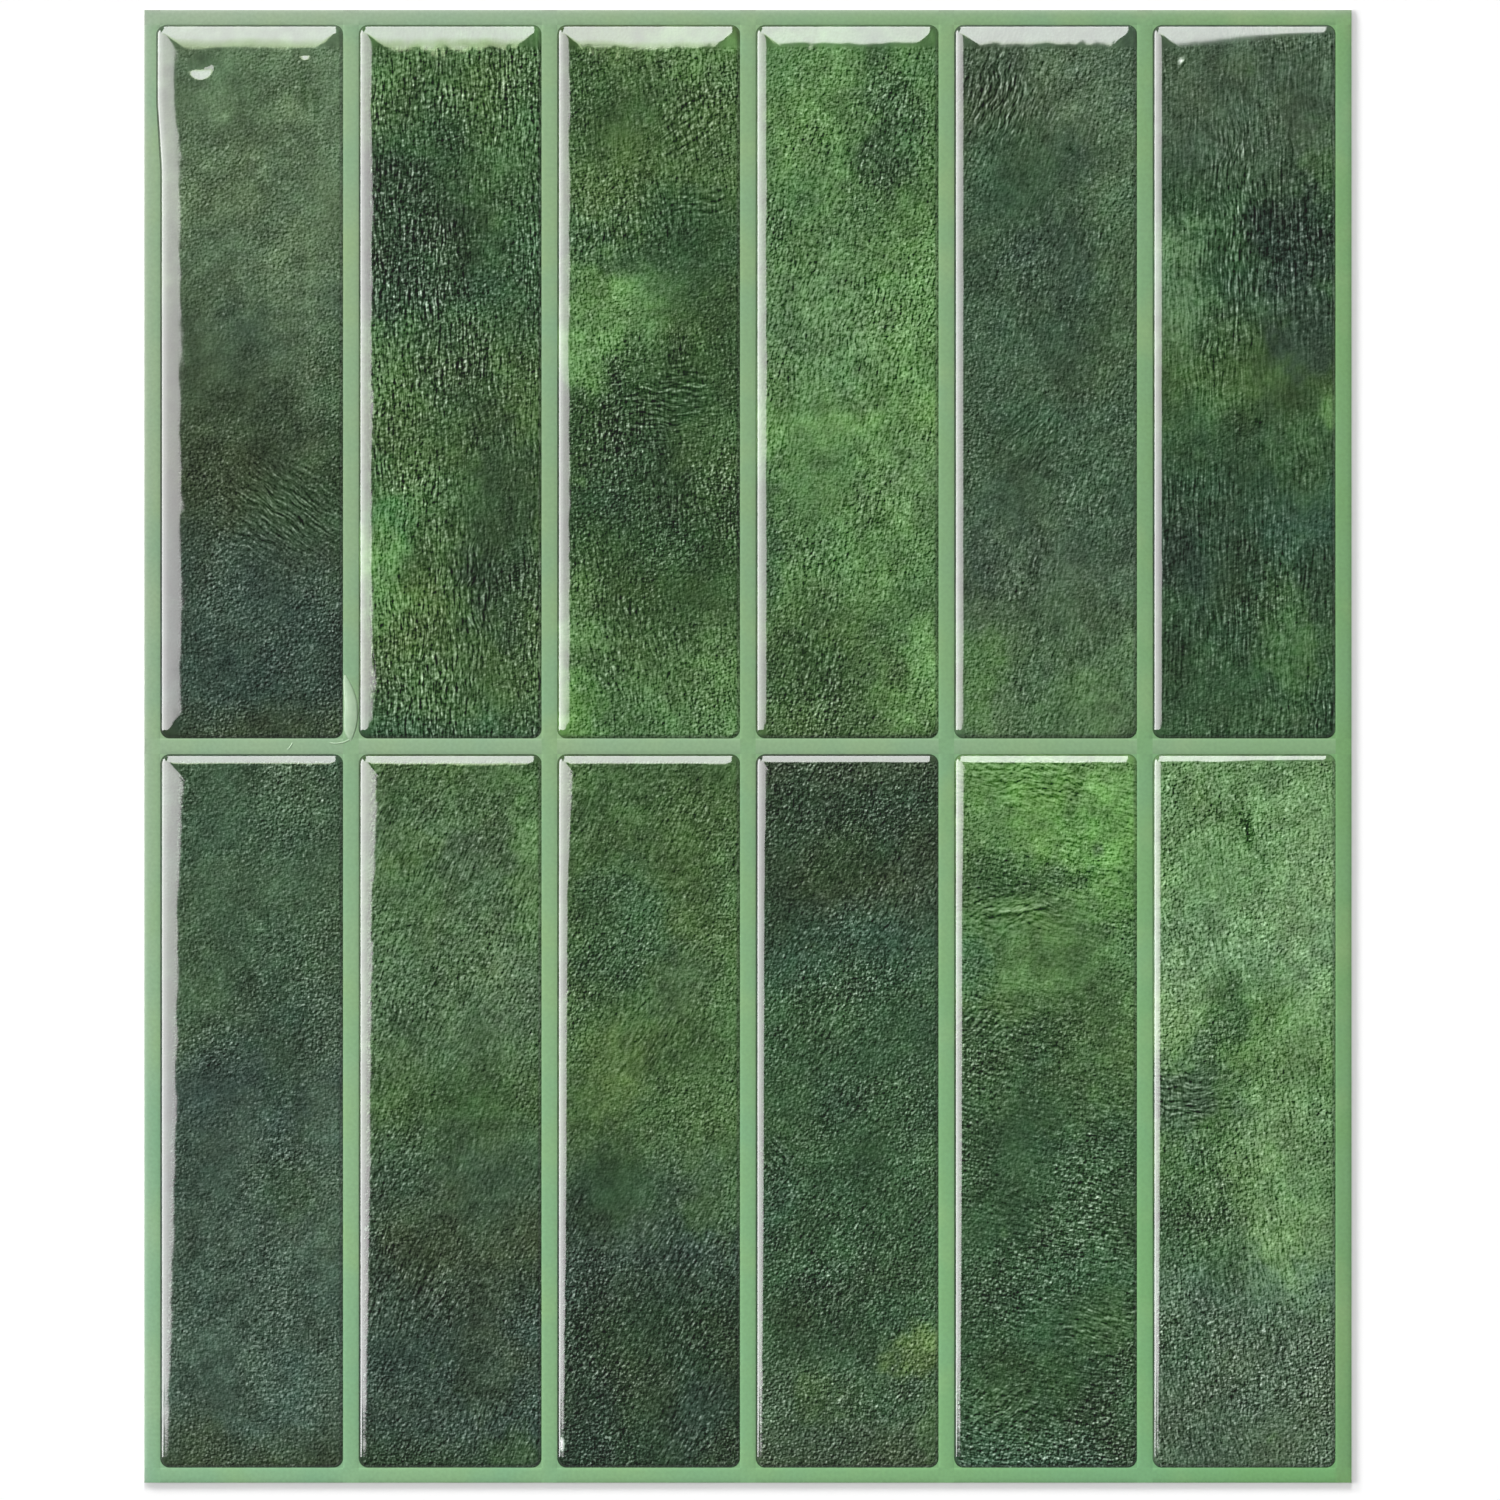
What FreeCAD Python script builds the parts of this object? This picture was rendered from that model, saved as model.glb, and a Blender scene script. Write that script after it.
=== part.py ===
import FreeCAD, Part
import math
import os

# Peel and stick backsplash sheet, in millimetres: domed gel tiles on a printed film,
# which has an adhesive coat and a paper release liner on its back.
# The sheet lies on its liner. X runs across it, Y up it as it hangs, Z out of the wall.
# The origin is the middle of the liner's underside.

# Tile pattern
tile_columns = 6
tile_rows = 2
tile_width = 37.9
tile_length = 147.8
tile_corner_radius = 2.0
grout_width = 3.2
side_margin = 3.3
end_margin = 3.1

# Layers of the sheet, from the wall outwards
liner_thickness = 0.15
adhesive_thickness = 0.1
film_thickness = 0.4

# Gel dome, seen across its rim: a rolled shoulder arc that starts steep, then a long
# crown arc that meets it at a shallow slope and runs out level
rim_angle = 70.0
shoulder_angle = 8.0
shoulder_run = 1.05
crown_run = 7.0

column_pitch = tile_width + grout_width
row_pitch = tile_length + grout_width
sheet_width = tile_columns * tile_width + (tile_columns - 1) * grout_width + 2 * side_margin
sheet_length = tile_rows * tile_length + (tile_rows - 1) * grout_width + 2 * end_margin
film_bottom = liner_thickness + adhesive_thickness
film_top = film_bottom + film_thickness

rim_slope = math.radians(rim_angle)
shoulder_slope = math.radians(shoulder_angle)
shoulder_radius = shoulder_run / (math.sin(rim_slope) - math.sin(shoulder_slope))
shoulder_rise = shoulder_radius * (math.cos(shoulder_slope) - math.cos(rim_slope))
crown_radius = crown_run / math.sin(shoulder_slope)
dome_run = shoulder_run + crown_run


def dome_height(inset):
    """Height of the gel above the film, this far in from the tile's rim."""
    if inset <= shoulder_run:
        slope = math.asin(math.sin(rim_slope) - inset / shoulder_radius)
        return shoulder_radius * (math.cos(slope) - math.cos(rim_slope))
    slope = math.asin(math.sin(shoulder_slope) - (inset - shoulder_run) / crown_radius)
    return shoulder_rise + crown_radius * (math.cos(slope) - math.cos(shoulder_slope))


def dome_point(rim, inward, inset):
    """A point of the dome's profile, which starts at the rim and runs inward, 1 or -1."""
    return FreeCAD.Vector(rim + inward * inset, 0, dome_height(inset))


def profile_arcs(rim, inward, reach):
    """The dome's profile in the XZ plane, from its rim to this inset, as one or two arcs."""
    stations = [0, min(shoulder_run, reach)]
    if reach > shoulder_run:
        stations.append(reach)
    arcs = []
    for start, end in zip(stations, stations[1:]):
        insets = (start, (start + end) / 2, end)
        arcs.append(Part.Arc(*[dome_point(rim, inward, inset) for inset in insets]).toShape())
    return arcs


def section_face(edges):
    """The flat face inside a closed loop of edges."""
    return Part.Face(Part.Wire(Part.sortEdges(edges)[0]))


def ridge(across, along):
    """A bar with the dome's cross section, this wide, extruded along Y about the origin."""
    rims = ((-across / 2, 1), (across / 2, -1))
    edges = []
    for rim, inward in rims:
        edges += profile_arcs(rim, inward, dome_run)
    for inset in (0, dome_run):
        ends = [dome_point(rim, inward, inset) for rim, inward in rims]
        edges.append(Part.makeLine(*ends))
    bar = section_face(edges).extrude(FreeCAD.Vector(0, along, 0))
    return bar.translated(FreeCAD.Vector(0, -along / 2, 0))


def corner_quarter():
    """A quarter turn of the dome's profile about Z, which rounds one corner of the tile."""
    radius = tile_corner_radius
    foot = FreeCAD.Vector(0, 0, 0)
    head = dome_point(radius, -1, radius)
    edges = profile_arcs(radius, -1, radius)
    edges.append(Part.makeLine(head, foot))
    edges.append(Part.makeLine(foot, dome_point(radius, -1, 0)))
    return section_face(edges).revolve(foot, FreeCAD.Vector(0, 0, 1), 90)


def gel_tile():
    """One gel dome: two crossed ridges leave it mitred, then its corners are rounded."""
    up = FreeCAD.Vector(0, 0, 1)
    long_ridge = ridge(tile_width, tile_length)
    cross_ridge = ridge(tile_length, tile_width).rotated(FreeCAD.Vector(), up, 90)
    dome = long_ridge.common(cross_ridge)
    centre_x = tile_width / 2 - tile_corner_radius
    centre_y = tile_length / 2 - tile_corner_radius
    quarter = corner_quarter()
    top = dome_height(dome_run)
    for turn, side_x, side_y in ((0, 1, 1), (90, -1, 1), (180, -1, -1), (270, 1, -1)):
        centre = FreeCAD.Vector(side_x * centre_x, side_y * centre_y, 0)
        square = Part.makeBox(tile_corner_radius, tile_corner_radius, top)
        dome = dome.cut(square.rotated(FreeCAD.Vector(), up, turn).translated(centre))
        dome = dome.fuse(quarter.rotated(FreeCAD.Vector(), up, turn).translated(centre))
    return dome.removeSplitter().Solids[0]


def layer(bottom, thickness):
    """A flat layer of the whole sheet, which starts at this height."""
    corner = FreeCAD.Vector(-sheet_width / 2, -sheet_length / 2, bottom)
    return Part.makeBox(sheet_width, sheet_length, thickness, corner)


def tile_centre(row, column):
    """Middle of a tile on the film: row 1 is the top row, column 1 the left one."""
    x = (column - (tile_columns + 1) / 2) * column_pitch
    y = ((tile_rows + 1) / 2 - row) * row_pitch
    return FreeCAD.Vector(x, y, film_top)


nodes = {
    "release_liner": layer(0, liner_thickness),
    "adhesive_layer": layer(liner_thickness, adhesive_thickness),
    "printed_film": layer(film_bottom, film_thickness),
}
tile = gel_tile()
for row in range(1, tile_rows + 1):
    for column in range(1, tile_columns + 1):
        nodes[f"gel_tile_r{row}_c{column}"] = tile.translated(tile_centre(row, column))

os.makedirs("parts", exist_ok=True)
for name, shape in nodes.items():
    shape.exportStep(f"parts/{name}.step")
    print(name, "valid", shape.isValid(), "faces", len(shape.Faces), "volume", round(shape.Volume, 1))
print("sheet", round(sheet_width, 3), "by", round(sheet_length, 3), "mm")
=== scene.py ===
# %% [markdown]
# # A gel backsplash sheet in Blender
# The object is a peel and stick sheet for a kitchen wall: twelve tall gel tiles, domed like
# drops of resin, on a pale green printed film with a paper liner behind it. The solids come
# from CAD. This lesson gives them their looks, one piece and one finish at a time.

# %% Load the frame
import math

import bpy
import numpy as np
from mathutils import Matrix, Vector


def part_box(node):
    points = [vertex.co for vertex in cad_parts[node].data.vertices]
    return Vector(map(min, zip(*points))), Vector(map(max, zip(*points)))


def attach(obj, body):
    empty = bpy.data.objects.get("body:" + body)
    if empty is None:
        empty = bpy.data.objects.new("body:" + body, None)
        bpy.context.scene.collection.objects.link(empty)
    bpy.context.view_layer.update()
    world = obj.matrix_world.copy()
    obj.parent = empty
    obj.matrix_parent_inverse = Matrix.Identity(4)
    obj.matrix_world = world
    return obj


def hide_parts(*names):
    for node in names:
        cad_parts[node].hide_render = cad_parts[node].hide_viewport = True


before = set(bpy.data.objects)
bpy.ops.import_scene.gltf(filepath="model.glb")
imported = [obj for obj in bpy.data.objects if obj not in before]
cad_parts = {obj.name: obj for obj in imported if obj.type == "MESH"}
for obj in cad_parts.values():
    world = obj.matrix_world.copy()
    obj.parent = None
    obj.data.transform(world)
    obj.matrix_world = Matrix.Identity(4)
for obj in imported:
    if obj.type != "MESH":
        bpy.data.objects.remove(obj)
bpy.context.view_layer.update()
MM = 0.001

# %% [markdown]
# ## Where everything is
# The twelve tiles and the film are measured from the frame, so the looks follow the solids
# when a size changes. Tiles are named by row and column, row 1 at the top.

# %% Measure the tiles
ROWS = (1, 2)
COLUMNS = (1, 2, 3, 4, 5, 6)


def tile_node(row, column):
    """The CAD name of a tile."""
    return f"gel_tile_r{row}_c{column}"


tile_boxes = {(row, column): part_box(tile_node(row, column)) for row in ROWS for column in COLUMNS}
first_low, first_high = tile_boxes[(1, 1)]
tile_width = (first_high[0] - first_low[0]) / MM
tile_length = (first_high[1] - first_low[1]) / MM
dome_rise = (first_high[2] - first_low[2]) / MM
film_top = first_low[2] / MM
print("one tile in mm", round(tile_width, 2), round(tile_length, 2), round(dome_rise, 2))

# %% [markdown]
# ## Camera
# The picture looks straight down on the sheet and shows hardly any perspective, so the
# camera hangs far above it with a long lens. Its lens follows from the width of the picture
# on the sheet and from its height.

# %% Camera
# In mm, apart from the nearest and farthest that it sees, which are in metres
PICTURE_WIDTH = 310.6
CAMERA_HEIGHT = 2200.0
CAMERA_X = 0.44
CAMERA_Y = -0.77
SENSOR_WIDTH = 36.0
NEAREST_SEEN = 0.05
FARTHEST_SEEN = 100.0


def make_camera():
    """A camera that looks straight down, with the lens that shows PICTURE_WIDTH at the film."""
    data = bpy.data.cameras.new("camera")
    data.sensor_width = SENSOR_WIDTH
    data.lens = SENSOR_WIDTH * CAMERA_HEIGHT / PICTURE_WIDTH
    data.clip_start = NEAREST_SEEN
    data.clip_end = FARTHEST_SEEN
    camera = bpy.data.objects.new("camera", data)
    camera.location = (CAMERA_X * MM, CAMERA_Y * MM, (CAMERA_HEIGHT + film_top) * MM)
    bpy.context.scene.collection.objects.link(camera)
    bpy.context.scene.camera = camera
    print("lens", round(data.lens, 1), "mm")


make_camera()
bpy.context.scene.view_settings.view_transform = "Standard"

# %% [markdown]
# ## Small helpers for shader nodes
# A finish is a chain of nodes. One helper adds a node, sets its values and joins its inputs,
# which keeps each material below short enough to read as a recipe.

# %% Node helpers
def linear(red, green, blue):
    """Screen values from 0 to 255 as the linear values that shaders use: the sRGB curve."""
    screen = np.array([red, green, blue]) / 255.0
    return np.where(screen <= 0.04045, screen / 12.92, ((screen + 0.055) / 1.055) ** 2.4)


def rgba(screen_colour):
    """A screen colour as a linear one with alpha, for a socket."""
    return (*linear(*screen_colour), 1.0)


def new_material(name):
    """An empty node material and its tree."""
    material = bpy.data.materials.new(name)
    material.use_nodes = True
    material.node_tree.nodes.clear()
    return material, material.node_tree


def add(tree, kind, settings=None, **inputs):
    """Adds a node. A socket given as an input is linked and any other value is set on it.

    An input is named i0, i1 and so on by its number, or by its name with _ for each space.
    """
    node = tree.nodes.new(kind)
    for key, value in (settings or {}).items():
        setattr(node, key, value)
    for key, value in inputs.items():
        index = int(key[1:]) if key[1:].isdigit() else key.replace("_", " ")
        socket = node.inputs[index]
        if isinstance(value, bpy.types.NodeSocket):
            tree.links.new(value, socket)
        else:
            socket.default_value = value
    return node


def maths(tree, operation, first, second=0.0, third=0.0):
    """One step of arithmetic on numbers or sockets."""
    settings = {"operation": operation}
    return add(tree, "ShaderNodeMath", settings, i0=first, i1=second, i2=third).outputs[0]


def mixed(tree, factor, first, second, blend="MIX"):
    """Two colours mixed by a factor."""
    settings = {"data_type": "RGBA", "blend_type": blend, "clamp_factor": True}
    node = add(tree, "ShaderNodeMix", settings, i0=factor, i6=first, i7=second)
    return node.outputs[2]


def spread(tree, value, low, high, to_low=0.0, to_high=1.0):
    """A value carried from one range to another, and held inside it."""
    node = add(tree, "ShaderNodeMapRange", None, Value=value)
    node.inputs["From Min"].default_value = low
    node.inputs["From Max"].default_value = high
    node.inputs["To Min"].default_value = to_low
    node.inputs["To Max"].default_value = to_high
    return node.outputs[0]


def noise(tree, vector, scale, detail=1.0, roughness=0.5):
    """Smooth noise from 0 to 1, around one half."""
    node = add(tree, "ShaderNodeTexNoise", None, Vector=vector)
    node.inputs["Scale"].default_value = scale
    node.inputs["Detail"].default_value = detail
    node.inputs["Roughness"].default_value = roughness
    return node.outputs[0]


def cloudy(tree, place, scale, low, high, detail=2.0):
    """Noise stretched so that it runs from 0 at low to 1 at high."""
    return spread(tree, noise(tree, place, scale, detail), low, high)


def bumped(tree, height, strength, depth, **inputs):
    """A normal that follows a height from 0 to 1, which stands for this depth in mm."""
    size = {"Strength": strength, "Distance": depth * MM}
    return add(tree, "ShaderNodeBump", None, Height=height, **size, **inputs).outputs[0]


def object_place(tree):
    """The point in the object's own metres, which are the sheet's."""
    return add(tree, "ShaderNodeTexCoord").outputs["Object"]


def finish_material(tree, shader):
    """Joins a shader to the material's output."""
    output = add(tree, "ShaderNodeOutputMaterial")
    tree.links.new(shader.outputs[0], output.inputs["Surface"])


# %% [markdown]
# ## Studio: floor and background
# The floor is white and keeps the sheet's shadow. Its colour does most of the work. A little
# light is added only for rays that come from the camera or from a mirror, so that the floor
# shows as pure white without throwing more light on the object.

# %% Floor
FLOOR_SIZE = 40.0
FLOOR_COLOUR = 0.93
FLOOR_LIFT = 0.14


def seen_ray(tree):
    """1 for rays from the camera, from a glossy surface or through glass."""
    path = add(tree, "ShaderNodeLightPath")
    seen = maths(tree, "MAXIMUM", path.outputs["Is Camera Ray"], path.outputs["Is Glossy Ray"])
    return maths(tree, "MAXIMUM", seen, path.outputs["Is Transmission Ray"])


def floor_material():
    """White paint, lifted to full white for the rays that see it."""
    material, tree = new_material("studio_floor")
    paint = add(tree, "ShaderNodeBsdfDiffuse", None, Color=(FLOOR_COLOUR,) * 3 + (1.0,))
    strength = maths(tree, "MULTIPLY", seen_ray(tree), FLOOR_LIFT)
    lift = add(tree, "ShaderNodeEmission", None, Strength=strength)
    both = add(tree, "ShaderNodeAddShader", None, i0=paint.outputs[0], i1=lift.outputs[0])
    finish_material(tree, both)
    return material


def flat_mesh(name, corners):
    """A mesh of one flat face through these corners, in metres."""
    mesh = bpy.data.meshes.new(name)
    mesh.from_pydata(corners, [], [tuple(range(len(corners)))])
    piece = bpy.data.objects.new(name, mesh)
    bpy.context.scene.collection.objects.link(piece)
    return piece


half_floor = FLOOR_SIZE / 2
floor = flat_mesh("studio_floor", [
    (-half_floor, -half_floor, 0.0), (half_floor, -half_floor, 0.0),
    (half_floor, half_floor, 0.0), (-half_floor, half_floor, 0.0),
])
floor.data.materials.append(floor_material())

# %% [markdown]
# ## Studio: light
# Three soft lights stand low enough to rake over the relief and to leave the narrow soft
# shadow on the right and below: a wide one from the left, a wide one from the top of the
# sheet, and a lower, narrower one between them. The world fills in the rest. Together they
# light a flat white surface to just white, so a colour renders about as it is written.

# %% Soft lights and world
# For each light: its share of the light on a flat surface, the way it stands, how high it
# stands, and how wide it looks, in degrees
LIGHTS = {
    "light_from_left": (0.29, 176.0, 24.0, 24.0),
    "light_from_top": (0.29, 94.0, 22.0, 24.0),
    "low_light": (0.14, 135.0, 13.0, 9.0),
}
# The world gives every surface this share as an even fill. The rays that see it find white
# walls, which darken to the ceiling between two heights, given as the sine of their angle.
FILL = 0.29
CEILING = 0.3
WALL_TOP = 0.15
CEILING_START = 0.45


def soft_light(name):
    """A far, wide light that gives a flat surface its share of pi, whatever its height."""
    share, azimuth, elevation, softness = LIGHTS[name]
    data = bpy.data.lights.new(name, "SUN")
    elevation, azimuth = math.radians(elevation), math.radians(azimuth)
    data.energy = share * math.pi / math.sin(elevation)
    data.angle = math.radians(softness)
    light = bpy.data.objects.new(name, data)
    light.rotation_euler = (0.0, math.pi / 2 - elevation, azimuth)
    light.visible_glossy = False
    bpy.context.scene.collection.objects.link(light)


def studio_world():
    """White walls and a dark ceiling for the rays that see them, and an even fill for others."""
    world = bpy.data.worlds.new("studio")
    world.use_nodes = True
    tree = world.node_tree
    tree.nodes.clear()
    direction = add(tree, "ShaderNodeTexCoord").outputs["Generated"]
    height = add(tree, "ShaderNodeSeparateXYZ", None, Vector=direction).outputs["Z"]
    seen = spread(tree, height, WALL_TOP, CEILING_START, 1.0, CEILING)
    choice = add(tree, "ShaderNodeMix", {"data_type": "FLOAT"}, i0=seen_ray(tree), i2=FILL, i3=seen)
    sky = add(tree, "ShaderNodeBackground", None, Strength=choice.outputs[0])
    output = add(tree, "ShaderNodeOutputWorld")
    tree.links.new(sky.outputs[0], output.inputs["Surface"])
    bpy.context.scene.world = world


for light_name in LIGHTS:
    soft_light(light_name)
studio_world()
print("light on a flat surface", round(FILL + sum(light[0] for light in LIGHTS.values()), 2))

# %% [markdown]
# ## Studio: reflectors
# The white bands along the left and top shoulders of every tile are mirror images of white
# reflectors, which only glossy surfaces see. The inner edge of each panel decides how far a
# band reaches into a tile, so the edges are cut to a shape: the left bands narrow from row
# to row and the top ones towards the right. Below each panel a wall carries it on towards
# the floor, for the steep foot of the shoulder to mirror.

# %% Reflectors
# Outlines in metres: x and y of the level panels, y and z of the left wall, x and z of the top one
LEFT_PANEL_HEIGHT = 3.0
LEFT_PANEL = [
    (-0.53, 1.2), (-0.53, 0.004), (-0.7, -0.003), (-0.65, -0.04), (-0.61, -0.075), (-0.66, -0.177),
    (-0.72, -0.24), (-0.83, -0.293), (-1.03, -0.338), (-1.5, -0.362), (-2.6, -0.375), (-2.6, 1.2),
]
LEFT_WALL_X = -1.5
LEFT_WALL = [(-0.26, 0.24), (1.2, 0.24), (1.2, 1.75), (-0.26, 1.75)]
TOP_PANEL_HEIGHT = 1.2
TOP_PANEL = [
    (-0.6, 0.301), (-0.127, 0.301), (-0.121, 0.299), (-0.094, 0.299), (-0.086, 0.277),
    (-0.0645, 0.277), (-0.0615, 0.319), (0.0, 0.319), (0.004, 0.346), (0.064, 0.346),
    (0.07, 0.34), (0.106, 0.336), (0.115, 0.36), (0.123, 0.385), (0.129, 0.335), (0.15, 0.4),
    (0.185, 0.57), (0.25, 0.9), (0.27, 1.5), (-0.6, 1.5),
]
TOP_WALL_Y = 1.5
TOP_WALL = [(-0.6, 0.22), (0.3, 0.22), (0.3, 1.2), (-0.6, 1.2)]
# For each reflector: the axis along which its light grows, from where to where, and its
# strength and tint at both of those places
REFLECTORS = {
    "left_panel": ("X", -0.5, -1.6, 8.0, 13.0, (1.0, 0.95, 0.975), (1.0, 0.98, 0.99)),
    "left_wall": ("Z", 1.75, 0.6, 13.0, 19.0, (1.0, 0.98, 0.99), (1.0, 0.99, 1.0)),
    "top_panel": ("Y", 0.3, 0.36, 8.5, 14.0, (0.82, 1.0, 0.6), (0.985, 1.0, 0.985)),
    "top_wall": ("Z", 1.2, 0.4, 13.5, 16.0, (0.985, 1.0, 0.985), (1.0, 1.0, 1.0)),
}


def reflector(name, corners):
    """A flat glowing panel that only glossy surfaces see. Its light grows along one axis."""
    axis, start, end, weak, strong, weak_tint, strong_tint = REFLECTORS[name]
    panel = flat_mesh(name, corners)
    material, tree = new_material(name)
    place = add(tree, "ShaderNodeSeparateXYZ", None, Vector=object_place(tree)).outputs[axis]
    share = spread(tree, place, start, end)
    tint = mixed(tree, share, (*weak_tint, 1.0), (*strong_tint, 1.0))
    strength = maths(tree, "MULTIPLY_ADD", share, strong - weak, weak)
    glow = add(tree, "ShaderNodeEmission", None, Color=tint, Strength=strength)
    finish_material(tree, glow)
    panel.data.materials.append(material)
    for kind in ("camera", "diffuse", "transmission", "volume_scatter", "shadow"):
        setattr(panel, f"visible_{kind}", False)


reflector("left_panel", [(x, y, LEFT_PANEL_HEIGHT) for x, y in LEFT_PANEL])
reflector("left_wall", [(LEFT_WALL_X, y, z) for y, z in LEFT_WALL])
reflector("top_panel", [(x, y, TOP_PANEL_HEIGHT) for x, y in TOP_PANEL])
reflector("top_wall", [(x, TOP_WALL_Y, z) for x, z in TOP_WALL])
print("reflectors", *REFLECTORS)

# %% [markdown]
# ## Clouds
# Hand-made glaze is never even. Its clouds, wrinkles and wavy edges all start from the same
# smooth noise: random values on a square lattice, blended between the lattice points. The
# seed is fixed, so the sheet comes out the same every time.

# %% Clouds
LATTICE = 128
OCTAVE_SHIFT = (17.3, -9.1)
OCTAVE_SHARE = 0.55


def cloud(x, y, cell, seed):
    """Smooth noise from -1 to 1 at points x, y: random values every cell, blended by 3t^2 - 2t^3."""
    values = np.random.default_rng(seed).uniform(-1.0, 1.0, (LATTICE, LATTICE))
    column, row = np.floor(x / cell), np.floor(y / cell)
    across, along = x / cell - column, y / cell - row
    across = across * across * (3.0 - 2.0 * across)
    along = along * along * (3.0 - 2.0 * along)
    i, j = column.astype(int) % LATTICE, row.astype(int) % LATTICE
    i_next, j_next = (i + 1) % LATTICE, (j + 1) % LATTICE
    near = values[j, i] * (1.0 - across) + values[j, i_next] * across
    far = values[j_next, i] * (1.0 - across) + values[j_next, i_next] * across
    return near * (1.0 - along) + far * along


def clouds(x, y, cell, seed, octaves=3):
    """Clouds of several sizes, each half the size and about half the strength of the last."""
    total, weight, reach = 0.0, 1.0, 0.0
    for octave in range(octaves):
        shift_x, shift_y = octave * OCTAVE_SHIFT[0], octave * OCTAVE_SHIFT[1]
        total = total + weight * cloud(x + shift_x, y + shift_y, cell / 2 ** octave, seed + octave)
        reach += weight
        weight *= OCTAVE_SHARE
    return total / reach


# %% [markdown]
# ## Glaze colours
# The print imitates a reduction-fired green glaze, which breaks from bright leaf green where
# it is thin to ink and umber where it pools. Each tile has a wash, which is a list of colours
# from its top to its bottom, and pools, which are soft spots of another colour. Both are
# given one by one, and the clouds then break up their edges.

# %% Palette and the notes for each tile
GLAZES = {
    "sage": (95, 117, 88), "smoke": (77, 97, 76), "umber": (62, 77, 56), "ink": (58, 76, 64),
    "deep": (50, 70, 50), "night": (41, 55, 46), "bottle": (53, 79, 48), "pine": (60, 88, 60),
    "moss": (74, 101, 62), "fern": (85, 119, 74), "leaf": (104, 144, 87), "lime": (108, 158, 86),
    "emerald": (86, 136, 84), "mint": (111, 146, 104), "sea": (72, 112, 84), "teal": (57, 83, 65),
    "slate": (69, 92, 69), "olive": (82, 106, 60), "straw": (100, 126, 74), "blue": (63, 81, 71),
    "reed": (82, 108, 76), "mist": (84, 111, 87), "steel": (71, 91, 77), "celadon": (126, 160, 114),
    "jade": (108, 145, 96),
}
# A wash is (how far down, colour). A pool is (across, down, half width, half length, colour,
# strength), with places as shares of the tile from its top left corner and halves in mm.
WASHES = {
    (1, 1): [
        (0.0, "sage"), (0.3, "sage"), (0.42, "smoke"), (0.54, "umber"), (0.66, "umber"), (0.82, "ink"),
        (0.94, "ink"), (1.0, "umber"),
    ],
    (1, 2): [
        (0.0, "fern"), (0.08, "moss"), (0.2, "pine"), (0.38, "pine"), (0.47, "moss"), (0.93, "moss"),
        (1.0, "pine"),
    ],
    (1, 3): [
        (0.0, "olive"), (0.08, "moss"), (0.22, "moss"), (0.3, "pine"), (0.42, "moss"), (0.52, "bottle"),
        (0.72, "bottle"), (0.84, "moss"), (0.95, "fern"), (1.0, "fern"),
    ],
    (1, 4): [
        (0.0, "fern"), (0.46, "fern"), (0.56, "leaf"), (0.66, "fern"), (0.8, "fern"), (0.88, "moss"),
        (1.0, "moss"),
    ],
    (1, 5): [
        (0.0, "smoke"), (0.14, "smoke"), (0.24, "slate"), (0.64, "slate"), (0.76, "smoke"),
        (0.88, "reed"), (1.0, "reed"),
    ],
    (1, 6): [
        (0.0, "smoke"), (0.18, "smoke"), (0.26, "pine"), (0.36, "pine"), (0.5, "moss"), (0.58, "pine"),
        (0.7, "teal"), (0.84, "pine"), (1.0, "pine"),
    ],
    (2, 1): [
        (0.0, "slate"), (0.3, "slate"), (0.46, "blue"), (0.6, "steel"), (0.93, "steel"), (1.0, "umber"),
    ],
    (2, 2): [
        (0.0, "moss"), (0.12, "reed"), (0.4, "reed"), (0.5, "moss"), (0.58, "slate"), (0.7, "umber"),
        (0.82, "ink"), (0.94, "ink"), (1.0, "deep"),
    ],
    (2, 3): [
        (0.0, "moss"), (0.52, "moss"), (0.6, "slate"), (0.7, "ink"), (0.8, "deep"), (1.0, "deep"),
    ],
    (2, 4): [
        (0.0, "umber"), (0.08, "deep"), (0.18, "umber"), (0.26, "teal"), (0.34, "pine"), (0.8, "pine"),
        (0.92, "slate"), (1.0, "umber"),
    ],
    (2, 5): [
        (0.0, "leaf"), (0.1, "leaf"), (0.2, "fern"), (0.3, "fern"), (0.38, "moss"), (0.54, "pine"),
        (0.92, "pine"), (1.0, "teal"),
    ],
    (2, 6): [
        (0.0, "jade"), (0.18, "jade"), (0.28, "mint"), (0.36, "leaf"), (0.5, "fern"), (0.62, "fern"),
        (0.74, "mist"), (0.84, "smoke"), (1.0, "smoke"),
    ],
}
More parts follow.
